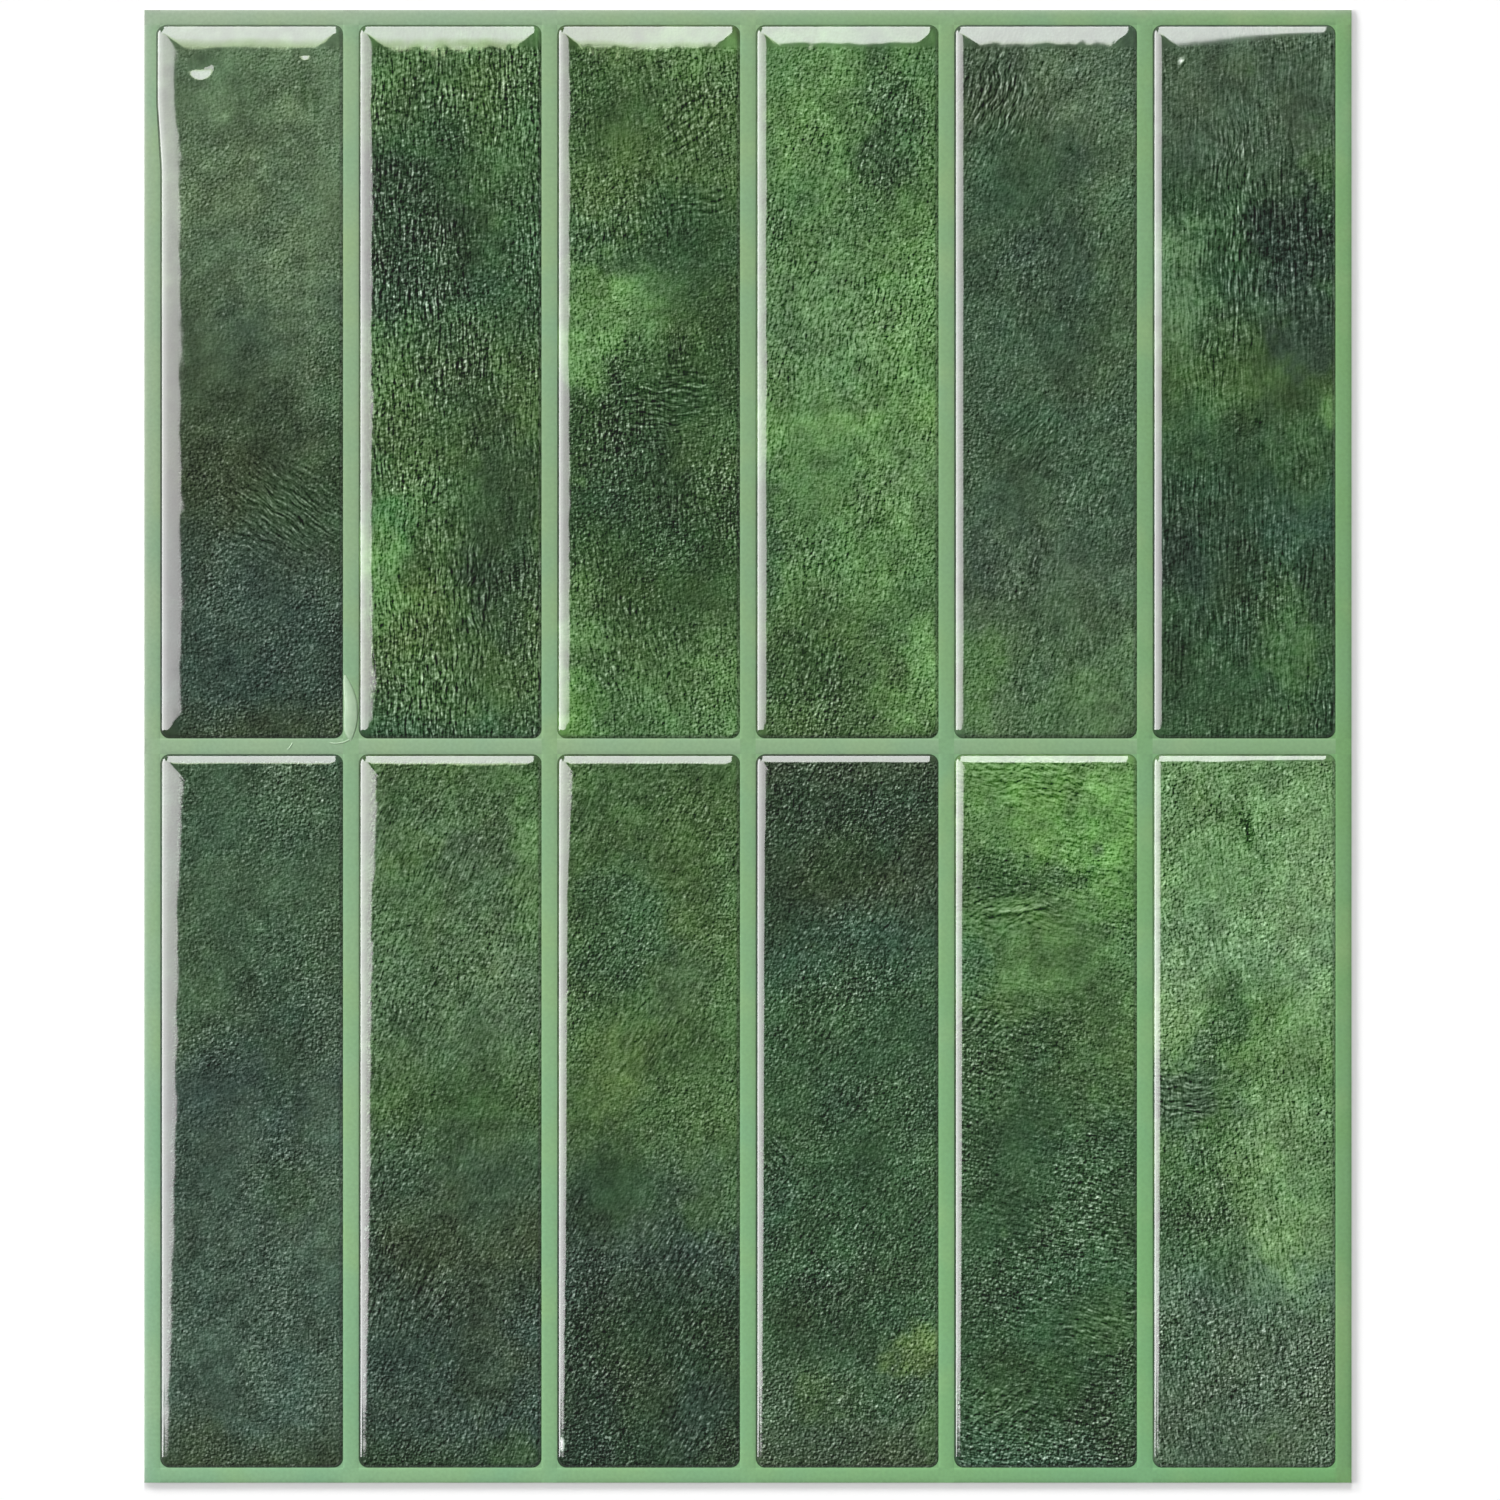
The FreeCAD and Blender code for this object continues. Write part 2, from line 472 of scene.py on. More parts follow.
POOLS = {
    (1, 1): [
        (0.12, 0.42, 4, 9, "umber", 0.4), (0.8, 0.34, 8, 14, "sage", 0.4),
        (0.9, 0.5, 4, 14, "sage", 0.5), (0.7, 0.68, 7, 7, "pine", 0.4),
        (0.12, 0.8, 5, 14, "night", 0.3), (0.95, 0.6, 3, 20, "pine", 0.4),
        (0.5, 0.8, 10, 12, "blue", 0.3), (0.5, 0.08, 6, 6, "mint", 0.25),
    ],
    (1, 2): [
        (0.82, 0.2, 6, 13, "fern", 0.5), (0.16, 0.27, 7, 13, "deep", 0.8),
        (0.45, 0.29, 7, 7, "deep", 0.8), (0.15, 0.73, 5, 11, "emerald", 0.9),
        (0.76, 0.67, 7, 15, "deep", 0.7), (0.84, 0.79, 6, 10, "deep", 0.6),
        (0.64, 0.52, 4, 6, "deep", 0.4), (0.2, 0.46, 7, 8, "fern", 0.6),
        (0.3, 0.83, 7, 9, "olive", 0.5), (0.76, 0.08, 6, 6, "moss", 0.6),
        (0.5, 0.47, 7, 8, "deep", 0.4), (0.5, 0.95, 9, 4, "fern", 0.3), (0.1, 0.08, 5, 8, "fern", 0.4),
        (0.28, 0.36, 9, 8, "deep", 0.85), (0.14, 0.76, 6, 7, "leaf", 0.8),
        (0.5, 0.66, 5, 5, "fern", 0.5),
    ],
    (1, 3): [
        (0.72, 0.04, 8, 4, "leaf", 0.7), (0.12, 0.1, 7, 12, "bottle", 0.6),
        (0.72, 0.28, 9, 6, "bottle", 0.7), (0.88, 0.42, 5, 9, "bottle", 0.5),
        (0.22, 0.41, 9, 9, "leaf", 0.9), (0.08, 0.48, 4, 6, "leaf", 0.8),
        (0.45, 0.38, 7, 6, "leaf", 0.4), (0.5, 0.63, 10, 10, "deep", 0.5),
        (0.12, 0.84, 4, 8, "leaf", 0.5), (0.06, 0.97, 5, 8, "lime", 0.8),
        (0.95, 0.92, 5, 6, "leaf", 0.5), (0.6, 0.83, 8, 6, "bottle", 0.6),
        (0.3, 0.22, 8, 9, "olive", 0.5), (0.6, 0.48, 8, 5, "bottle", 0.4),
        (0.88, 0.6, 6, 12, "moss", 0.7),
    ],
    (1, 4): [
        (0.72, 0.16, 7, 14, "pine", 0.6), (0.66, 0.18, 4, 8, "deep", 0.45),
        (0.22, 0.91, 8, 7, "bottle", 0.6), (0.06, 0.72, 3, 12, "pine", 0.6),
        (0.9, 0.92, 6, 9, "leaf", 1.0), (0.35, 0.42, 10, 14, "mint", 0.4),
        (0.88, 0.46, 6, 22, "leaf", 0.7), (0.88, 0.66, 5, 8, "mint", 0.5),
        (0.7, 0.72, 9, 12, "leaf", 0.5), (0.45, 0.12, 5, 12, "leaf", 0.5),
        (0.28, 0.61, 6, 3, "moss", 0.4), (0.25, 0.1, 7, 10, "leaf", 0.5),
        (0.85, 0.31, 5, 9, "leaf", 0.5),
    ],
    (1, 5): [
        (0.66, 0.1, 8, 9, "sage", 0.55), (0.15, 0.1, 6, 9, "umber", 0.5),
        (0.88, 0.19, 5, 7, "sage", 0.4), (0.6, 0.33, 8, 9, "ink", 0.5), (0.33, 0.31, 4, 3, "ink", 0.5),
        (0.13, 0.92, 4.5, 8, "fern", 0.9), (0.15, 0.75, 5, 6, "ink", 0.5),
        (0.46, 0.86, 4, 8, "slate", 0.4), (0.82, 0.72, 5, 6, "slate", 0.5),
        (0.4, 0.57, 6, 5, "pine", 0.4), (0.75, 0.5, 6, 9, "umber", 0.3), (0.3, 0.2, 8, 8, "pine", 0.4),
        (0.9, 0.32, 5, 22, "reed", 0.45), (0.7, 0.95, 8, 6, "fern", 0.4),
    ],
    (1, 6): [
        (0.72, 0.29, 9, 8, "night", 0.85), (0.84, 0.41, 6, 10, "ink", 0.8),
        (0.1, 0.37, 5, 11, "mint", 0.7), (0.95, 0.2, 4, 5, "fern", 0.6),
        (0.98, 0.54, 3, 4, "leaf", 0.8), (0.3, 0.76, 9, 13, "deep", 0.75),
        (0.18, 0.76, 6, 6, "blue", 0.3), (0.72, 0.86, 4.5, 9, "fern", 0.7),
        (0.9, 0.78, 4, 5, "deep", 0.6), (0.55, 0.57, 5, 6, "deep", 0.6), (0.5, 0.83, 5, 6, "deep", 0.4),
        (0.55, 0.38, 5, 6, "ink", 0.4), (0.12, 0.75, 5, 7, "night", 0.4),
        (0.12, 0.92, 4, 6, "deep", 0.4), (0.3, 0.5, 8, 8, "fern", 0.4), (0.8, 0.6, 5, 7, "fern", 0.3),
    ],
    (2, 1): [
        (0.7, 0.43, 6, 8, "deep", 0.4), (0.25, 0.36, 6, 7, "moss", 0.25),
        (0.2, 0.66, 6, 16, "ink", 0.45), (0.72, 0.61, 5, 5, "pine", 0.4),
        (0.82, 0.78, 5, 9, "ink", 0.35), (0.9, 0.54, 5, 18, "sage", 0.3),
        (0.12, 0.96, 5, 5, "umber", 0.4),
    ],
    (2, 2): [
        (0.93, 0.15, 4, 14, "leaf", 0.45), (0.25, 0.2, 8, 7, "fern", 0.4),
        (0.22, 0.13, 5, 5, "olive", 0.4), (0.55, 0.14, 4, 5, "smoke", 0.5),
        (0.85, 0.33, 6, 6, "sage", 0.5), (0.1, 0.74, 4, 12, "ink", 0.5),
        (0.4, 0.7, 7, 4, "umber", 0.35), (0.74, 0.86, 6, 7, "umber", 0.5),
        (0.85, 0.97, 5, 3, "moss", 0.4), (0.6, 0.5, 8, 7, "bottle", 0.35),
    ],
    (2, 3): [
        (0.32, 0.42, 6, 9, "straw", 0.5), (0.42, 0.37, 3, 5, "leaf", 0.45),
        (0.7, 0.32, 6, 6, "sage", 0.3), (0.96, 0.35, 3, 30, "fern", 0.4),
        (0.3, 0.6, 7, 5, "bottle", 0.5), (0.8, 0.93, 5, 9, "blue", 0.5),
        (0.15, 0.95, 5, 8, "night", 0.4), (0.48, 0.88, 6, 5, "umber", 0.4),
        (0.88, 0.63, 6, 6, "moss", 0.6), (0.32, 0.25, 9, 12, "pine", 0.65),
        (0.75, 0.5, 6, 6, "moss", 0.4), (0.12, 0.76, 5, 24, "night", 0.35),
    ],
    (2, 4): [
        (0.12, 0.19, 5, 15, "deep", 0.7), (0.55, 0.46, 7, 6, "deep", 0.4),
        (0.86, 0.84, 5, 5, "straw", 0.9), (0.1, 0.62, 4, 8, "teal", 0.5),
        (0.5, 0.15, 7, 6, "bottle", 0.4), (0.93, 0.4, 3, 16, "teal", 0.3),
        (0.35, 0.91, 4, 4, "moss", 0.6), (0.7, 0.9, 5, 4, "bottle", 0.4),
        (0.96, 0.93, 3, 8, "fern", 0.4), (0.35, 0.77, 10, 7, "deep", 0.8),
    ],
    (2, 5): [
        (0.84, 0.13, 7, 13, "lime", 0.8), (0.3, 0.165, 9, 4.5, "bottle", 0.75),
        (0.5, 0.09, 8, 7, "lime", 0.4), (0.12, 0.09, 5, 8, "fern", 0.4),
        (0.12, 0.39, 5, 5, "pine", 0.5), (0.68, 0.178, 4, 2, "pine", 0.5),
        (0.45, 0.235, 8, 2.5, "leaf", 0.5), (0.1, 0.31, 4, 5, "sea", 0.5),
        (0.14, 0.75, 5, 6, "deep", 0.4), (0.33, 0.43, 7, 8, "pine", 0.6),
        (0.78, 0.38, 7, 10, "moss", 0.5), (0.8, 0.79, 6, 6, "fern", 0.35),
        (0.84, 0.93, 6, 8, "deep", 0.75), (0.5, 0.87, 7, 3, "bottle", 0.4),
        (0.4, 0.04, 9, 4, "lime", 0.5), (0.45, 0.29, 7, 6, "leaf", 0.35),
        (0.9, 0.43, 4, 10, "fern", 0.5),
    ],
    (2, 6): [
        (0.45, 0.08, 4, 5, "moss", 0.4), (0.88, 0.2, 5, 18, "celadon", 0.6),
        (0.1, 0.34, 6, 11, "celadon", 0.75), (0.88, 0.36, 5, 9, "celadon", 0.4),
        (0.12, 0.84, 5, 6, "pine", 0.4), (0.2, 0.48, 8, 8, "slate", 0.85),
        (0.43, 0.37, 4, 7, "bottle", 0.7), (0.2, 0.64, 7, 9, "pine", 0.75),
        (0.72, 0.68, 4.5, 7, "leaf", 0.85), (0.6, 0.6, 3.5, 5, "leaf", 0.5),
        (0.75, 0.6, 9, 22, "celadon", 0.5), (0.78, 0.42, 7, 5, "moss", 0.3),
        (0.3, 0.79, 5, 4, "smoke", 0.4), (0.38, 0.7, 4, 5, "pine", 0.5), (0.5, 0.25, 8, 5, "mint", 0.4),
    ],
}
print("pools of glaze", sum(len(pools) for pools in POOLS.values()))

# %% Wash and pools to a colour at each point
# Cells, clouds and reaches are in mm, and the rest are shares
EDGE_WANDER = 4.0
EDGE_CLOUD = 11.0
EDGE_FRAY = 1.6
FRAY_CLOUD = 2.6
POOL_BREAK = 0.42
POOL_CLOUD = 5.0
POOL_START = 0.18
POOL_END = 0.82
MOTTLE = 0.16
MOTTLE_CELL = 6.0
SPECKLE = 0.16
SPECKLE_CELL = 2.4
HUE_DRIFT = (2.5, 0.0, -2.5)
HUE_CELL = 9.0
# Painted light on the rims away from the light and painted shade at the lower foot, as shares
PAINTED_RIM_LIGHT = 0.3
PAINTED_RIM_LIGHT_REACH = 0.7
PAINTED_FOOT_SHADE = 0.5
PAINTED_FOOT_REACH = 0.3


def glaze_colour(x, y, key, seed):
    """The print's screen colour at x, y mm from the tile's top left corner, y downwards.

    The point first wanders by a few mm with the clouds. The wash is read at how far down it
    is. Each pool then mixes in where exp(-r^2 / 2) from its middle, plus clouds, is high. The
    rims away from the light get painted light, standing in for the light the dome gathers
    there, and the foot of the lower one gets painted shade.
    """
    fray = EDGE_FRAY * clouds(x, y, FRAY_CLOUD, seed + 10, 2)
    wander_x = x + EDGE_WANDER * clouds(x, y, EDGE_CLOUD, seed, 4) + fray
    wander_y = y + EDGE_WANDER * clouds(x, y, EDGE_CLOUD, seed + 20, 4) - fray
    stops = np.array([stop for stop, _ in WASHES[key]])
    shades = np.array([GLAZES[name] for _, name in WASHES[key]], float)
    down = wander_y / tile_length
    colour = np.stack([np.interp(down, stops, shades[:, channel]) for channel in range(3)], axis=-1)
    broken = clouds(x, y, POOL_CLOUD, seed + 40, 4)
    for across, depth, half_width, half_length, name, strength in POOLS[key]:
        u = (wander_x - across * tile_width) / half_width
        v = (wander_y - depth * tile_length) / half_length
        near = np.exp(-0.5 * (u * u + v * v)) + POOL_BREAK * broken
        near = np.clip((near - POOL_START) / (POOL_END - POOL_START), 0.0, 1.0)
        weight = (strength * near * near * (3.0 - 2.0 * near))[..., None]
        colour = colour * (1.0 - weight) + np.array(GLAZES[name]) * weight
    colour = colour + clouds(x, y, HUE_CELL, seed + 100, 3)[..., None] * np.array(HUE_DRIFT)
    light = 1.0 + MOTTLE * clouds(x, y, MOTTLE_CELL, seed + 60, 3)
    light = light + SPECKLE * clouds(x, y, SPECKLE_CELL, seed + 80, 2)
    far_rim = np.minimum(tile_width - x, tile_length - y)
    light = light + PAINTED_RIM_LIGHT * np.exp(-far_rim / PAINTED_RIM_LIGHT_REACH)
    light = light - PAINTED_FOOT_SHADE * np.exp(-(tile_length - y) / PAINTED_FOOT_REACH)
    return np.clip(colour * light[..., None] / 255.0, 0.0, 1.0)


# %% [markdown]
# ## The gel dome
# Liquid gel poured on a printed tile stops at its edge by surface tension. It climbs
# steeply there and then rolls into a crown that is almost flat. The height depends on the
# distance from the rim and on how full the tile is, so the whole dome is one formula on a
# grid. The grid is finer at the rim, where the surface bends most.

# %% Dome formula and grid
# In mm, apart from the crown's slope at the rim and the softness, which are shares
SHOULDER_REACH = 0.36
CROWN_SLOPE = 0.14
CROWN_REACH = 3.7
CORNER_RADIUS = 2.0
RIDGE_SOFTNESS = 0.1
FINE_STEP = 0.09
COARSE_STEP = 0.46
STEP_REACH = 1.6
TRIAL_PLACES = 6001
TINY = 1e-6
crown_rise = CROWN_SLOPE * CROWN_REACH
shoulder_rise = dome_rise - crown_rise


def stations(span):
    """Places from 0 to span whose spacing grows from FINE_STEP at both ends to COARSE_STEP."""
    place = np.linspace(0.0, span, TRIAL_PLACES)
    edge = np.minimum(place, span - place)
    step = COARSE_STEP - (COARSE_STEP - FINE_STEP) * np.exp(-edge / STEP_REACH)
    count = np.concatenate([[0.0], np.cumsum(0.5 * (1 / step[1:] + 1 / step[:-1]) * np.diff(place))])
    return np.interp(np.linspace(0.0, count[-1], int(count[-1]) + 1), count, place)


def rim_distance(x, y):
    """Distance from the rim. The mitre between two sides is rounded, more so further in.

    Near the mitre, soft * overlap^2 / 4 is taken off, where overlap falls from 1 on it to 0
    where the two sides differ by soft.
    """
    side = np.minimum(x, tile_width - x)
    end = np.minimum(y, tile_length - y)
    nearest = np.minimum(side, end)
    soft = RIDGE_SOFTNESS * nearest + TINY
    overlap = np.clip(1.0 - np.abs(side - end) / soft, 0.0, 1.0)
    return nearest - 0.25 * soft * overlap ** 2


def dome(distance, fullness):
    """Height over the film: a shoulder and a crown, each 1 - exp(-distance / reach)."""
    shoulder = shoulder_rise * (1.0 - np.exp(-distance / SHOULDER_REACH))
    return shoulder + fullness * crown_rise * (1.0 - np.exp(-distance / CROWN_REACH))


def rounded(x, y):
    """The square corners of the grid turned round: in the last CORNER_RADIUS of each corner, a
    point at (a, b) from the corner's centre goes to (a, b) * max(a, b) / hypot(a, b)."""
    out = []
    a = np.maximum(CORNER_RADIUS - np.minimum(x, tile_width - x), 0.0)
    b = np.maximum(CORNER_RADIUS - np.minimum(y, tile_length - y), 0.0)
    shrink = np.where((a > 0) & (b > 0), np.maximum(a, b) / np.maximum(np.hypot(a, b), TINY), 1.0)
    for place, span, reach in ((x, tile_width, a), (y, tile_length, b)):
        outward = np.where(place < span / 2, -1.0, 1.0)
        out.append(place - outward * reach * (1.0 - shrink))
    return out


# How full of gel each tile is, as (how far down, share of the usual crown)
FULLNESS = {
    (1, 1): [(0.0, 0.8), (0.2, 0.8), (0.5, 0.92), (1.0, 0.92)],
    (1, 2): [(0.0, 0.78), (0.06, 0.78), (0.16, 0.82), (0.86, 0.82), (0.93, 0.98), (1.0, 0.88)],
    (1, 3): [(0.0, 0.96)],
    (1, 4): [(0.0, 1.03)],
    (1, 5): [(0.0, 1.04)],
    (1, 6): [(0.0, 1.22)],
    (2, 1): [(0.0, 1.52), (0.2, 1.09)],
    (2, 2): [(0.0, 1.56), (0.2, 1.05)],
    (2, 3): [(0.0, 1.6), (0.2, 0.98)],
    (2, 4): [(0.0, 1.34), (0.2, 0.95)],
    (2, 5): [(0.0, 1.42), (0.2, 1.0)],
    (2, 6): [(0.0, 1.3), (0.2, 1.04)],
}


def fullness_at(y, key):
    """The crown's share at this distance down a tile."""
    stops, shares = zip(*FULLNESS[key])
    return np.interp(y / tile_length, stops, shares)


across_stations = stations(tile_width)
down_stations = stations(tile_length)
print("grid", len(across_stations), "by", len(down_stations))

# %% [markdown]
# ## Relief of the gel's face
# The gel isn't smooth. It has a fine leathery skin, wrinkles that run down some tiles, and
# patches of ripples. The wider ones are in the mesh, because they bend the reflections, and
# the finest are left to the material. Each tile gets masks that say how much of each it has.

# %% Skin masks and relief
# For each tile: the turn of its wrinkles from straight down in degrees, how strong wrinkles
# and beads are on the whole tile, and ripple patches as (across, down, half width, half
# length, turn of the ripple lines from level, strength).
SKINS = {
    (1, 1): (8, 0.14, 0.46, [(0.68, 0.68, 15, 11, -36, 0.8)]),
    (1, 2): (0, 0.84, 0.36, [(0.62, 0.85, 7, 24, 90, 0.9)]),
    (1, 3): (4, 0.55, 0.5, [
        (0.7, 0.15, 9, 9, 42, 0.7), (0.62, 0.53, 12, 9, 3, 0.9), (0.8, 0.25, 8, 3, 8, 0.8),
    ]),
    (1, 4): (-14, 0.58, 0.48, [(0.3, 0.36, 8, 8, 40, 0.5)]),
    (1, 5): (-16, 0.38, 0.36, [(0.24, 0.1, 8, 9, 66, 1.2), (0.45, 0.58, 8, 8, 50, 0.6)]),
    (1, 6): (0, 0.52, 0.24, [(0.47, 0.24, 5, 28, 90, 0.8)]),
    (2, 1): (10, 0.1, 0.48, []),
    (2, 2): (-24, 0.45, 0.42, [(0.9, 0.22, 4, 10, 78, 0.6)]),
    (2, 3): (-28, 0.38, 0.44, [(0.5, 0.38, 10, 10, 55, 0.4)]),
    (2, 4): (-30, 0.32, 0.54, [(0.1, 0.56, 5, 5, -40, 0.6)]),
    (2, 5): (80, 0.5, 0.5, [
        (0.3, 0.22, 10, 5, 14, 1.0), (0.4, 0.04, 14, 5, 4, 0.8), (0.15, 0.38, 6, 4, 38, 0.9),
        (0.25, 0.92, 9, 7, 34, 0.8), (0.75, 0.8, 8, 6, -8, 0.6),
    ]),
    (2, 6): (6, 0.48, 0.6, [(0.2, 0.48, 9, 8, 0, 1.0)]),
}
# Smooth spots, as (across, down, half width, half length), and how much grain they take away
SMOOTH_SPOTS = {
    (1, 1): [(0.35, 0.1, 9, 10), (0.2, 0.5, 8, 12)],
    (1, 3): [(0.35, 0.12, 7, 8), (0.85, 0.3, 5, 8)],
    (1, 5): [(0.45, 0.2, 8, 8), (0.6, 0.45, 7, 7)],
    (1, 6): [(0.82, 0.13, 6, 9), (0.2, 0.2, 5, 5), (0.75, 0.5, 7, 7)],
    (2, 2): [(0.6, 0.6, 9, 10)],
    (2, 3): [(0.25, 0.6, 7, 8)],
    (2, 5): [(0.6, 0.3, 8, 6), (0.4, 0.55, 7, 9)],
}
SMOOTHING = 0.45
# Wrinkles and ripples wander by a cloud for each (reach, cell) in mm
WRINKLE_BENDS = ((0.5, 7.0), (0.22, 2.6))
RIPPLE_BENDS = ((1.1, 8.0), (0.4, 3.0))
# Wrinkles and beads are patchy: (middle, swing, cell in mm) of their strength, and its most
WRINKLE_PATCHES = (0.75, 0.7, 14.0)
BEAD_PATCHES = (0.8, 0.45, 12.0)
MOST_STRENGTH = 1.3
RIPPLE_CLEARING = 0.6
# The waves of the mesh, heights and widths in mm. Wrinkles are waves as (share, times as long
# as wide, width), and keep the least strength everywhere.
WRINKLE_HEIGHT = 0.020
WRINKLE_WAVES = ((1.0, 4.0, 1.5), (0.5, 3.0, 0.9))
LEAST_WRINKLE = 0.25
RIPPLE_HEIGHT = 0.018
RIPPLE_SPACING = 2.3
RIPPLE_CELL = 5.0
RIPPLE_STEADY = 0.6
SWELL_HEIGHT = 0.030
SWELL_CELL = 9.0
RELIEF_START = 1.5
RELIEF_END = 7.0
# The swell is weaker by the left rim of every tile, and grows back between these mm from it.
# The whole relief is weaker at the top of one tile, whose upper light band has a straight edge.
LEFT_STILL = (3.5, 8.0)
LEFT_SHARE = 0.5
STILL_TILE = (1, 6)
STILL_END = (5.0, 10.0)
STILL_SHARE = 0.12
# In the light bands the skin looks smooth. Their widths in mm: at the left of each column, with
# the share of that down a tile of the lower row, as (how far down, share), and at the top of
# each row. The still tile has its own at the top, from its left to its right.
LEFT_BANDS = (3.6, 2.1, 2.1, 1.8, 1.5, 1.5)
LOWER_BANDS = ((0.0, 1.0), (0.5, 0.6), (1.0, 0.15))
TOP_BANDS = (4.4, 1.2)
STILL_BAND = (4.6, 1.3)
BAND_EDGE = 0.7
BAND_SHARE = 0.12
# Dents are (across, down, half width, length, depth), the last three in mm. Each is like the
# mark of a fingernail, steep above and shallow below. The shallow side faces the light and
# mirrors the reflector above as a half moon. Few beads show in it.
DENTS = {
    (1, 1): [(0.238, 0.0585, 2.7, 2.7, 0.2), (0.80, 0.041, 1.1, 1.2, 0.07)],
    (2, 4): [(0.863, 0.298, 0.6, 0.8, 0.1)],
}
DENT_WALL = 0.5
DENT_BEADS = 0.2


def turned(x, y, degrees):
    """Coordinates across and along lines that are turned this much from straight down."""
    turn = math.radians(degrees)
    return x * math.cos(turn) - y * math.sin(turn), x * math.sin(turn) + y * math.cos(turn)


def ripple_mask(x, y, key):
    """How much ripple each point has, strength * exp(-r^3) from the middle of a patch, and the
    coordinates across and along the ripples."""
    mask = np.zeros_like(x)
    across_lines, along_lines = np.zeros_like(x), np.zeros_like(x)
    for across, depth, half_width, half_length, turn, strength in SKINS[key][3]:
        u = (x - across * tile_width) / half_width
        v = (y - depth * tile_length) / half_length
        here = strength * np.exp(-(u * u + v * v) ** 1.5)
        rise_across, rise_along = turned(x, y, turn - 90)
        wins = here > mask
        across_lines = np.where(wins, rise_across, across_lines)
        along_lines = np.where(wins, rise_along, along_lines)
        mask = np.maximum(mask, here)
    return mask, across_lines, along_lines


def bent(lines, x, y, bends, seed):
    """Line coordinates that wander by a cloud for each of the bends."""
    for number, (reach, cell) in enumerate(bends):
        lines = lines + reach * cloud(x, y, cell, seed + number)
    return lines


def patches(x, y, patchiness, seed):
    """A strength that drifts with the clouds about its middle."""
    middle, swing, cell = patchiness
    return np.clip(middle + swing * clouds(x, y, cell, seed, 2), 0.0, MOST_STRENGTH)


def calm_share(x, y, key):
    """How much of the skin's grain shows: little in the light bands, less in smooth spots."""
    left_band, top_band = LEFT_BANDS[key[1] - 1], TOP_BANDS[key[0] - 1]
    if key[0] == 2:
        left_band = left_band * np.interp(y / tile_length, *zip(*LOWER_BANDS))
    if key == STILL_TILE:
        top_band = np.interp(x / tile_width, (0.0, 1.0), STILL_BAND)
    calm = np.clip(np.minimum(x - left_band, y - top_band) / BAND_EDGE, BAND_SHARE, 1.0)
    for across, down, half_width, half_length in SMOOTH_SPOTS.get(key, []):
        u, v = (x - across * tile_width) / half_width, (y - down * tile_length) / half_length
        calm = calm * (1.0 - SMOOTHING * np.exp(-0.5 * (u * u + v * v)))
    return calm


def dented(height, beads, x, y, key):
    """Relief and beads with the dents pressed in: bowls of depth * (1 - r^2), which end at a
    short wall above their middle."""
    for across, down, half_width, length, depth in DENTS.get(key, []):
        u, below = (x - across * tile_width) / half_width, y - down * tile_length
        bowl = np.maximum(1.0 - u * u - (below / length) ** 2, 0.0)
        height = height - depth * bowl * np.clip(1.0 + below / DENT_WALL, 0.0, 1.0)
        beads = np.where(bowl > 0.0, DENT_BEADS * beads, beads)
    return height, beads


def skin(x, y, key, seed):
    """The relief that goes into a tile's mesh, the masks of its skin, and its line coordinates.

    Wrinkles are clouds stretched along their lines, ripples are a bent cosine across theirs,
    and swell is wide shallow clouds that are weaker at the left.
    """
    turn, wrinkled, beaded = SKINS[key][:3]
    across_wrinkle, along_wrinkle = turned(x, y, turn)
    across_wrinkle = bent(across_wrinkle, x, y, WRINKLE_BENDS, seed + 1)
    ripples, across_ripple, along_ripple = ripple_mask(x, y, key)
    across_ripple = bent(across_ripple, x, y, RIPPLE_BENDS, seed + 5)
    calm = calm_share(x, y, key)
    wrinkles = wrinkled * patches(x, y, WRINKLE_PATCHES, seed + 3) * calm
    beads = beaded * patches(x, y, BEAD_PATCHES, seed + 4) * calm
    beads = beads * np.clip(1.0 - RIPPLE_CLEARING * ripples, 0.0, 1.0)
    wrinkle = 0.0
    for number, (share, stretch, width) in enumerate(WRINKLE_WAVES):
        wrinkle = wrinkle + share * cloud(across_wrinkle, along_wrinkle / stretch, width, seed + 7 + number)
    steady = RIPPLE_STEADY + (1.0 - RIPPLE_STEADY) * cloud(x, y, RIPPLE_CELL, seed + 9)
    ripple = np.cos(2 * math.pi * across_ripple / RIPPLE_SPACING) * steady
    height = WRINKLE_HEIGHT * wrinkle * (LEAST_WRINKLE + wrinkles) + RIPPLE_HEIGHT * ripple * ripples
    swell = SWELL_HEIGHT * clouds(x, y, SWELL_CELL, seed + 10, 3)
    swell = swell * np.interp(x, LEFT_STILL, (LEFT_SHARE, 1.0))
    rim = rim_distance(x, y)
    inside = np.clip((rim - RELIEF_START) / (RELIEF_END - RELIEF_START), 0.0, 1.0)
    height = height * inside + swell * np.clip(rim / RELIEF_START, 0.0, 1.0)
    if key == STILL_TILE:
        height = height * np.interp(y, STILL_END, (STILL_SHARE, 1.0))
    height, beads = dented(height, beads, x, y, key)
    wrinkle_lines, ripple_lines = (across_wrinkle, along_wrinkle), (across_ripple, along_ripple)
    return height, (wrinkles, ripples, beads), wrinkle_lines, ripple_lines
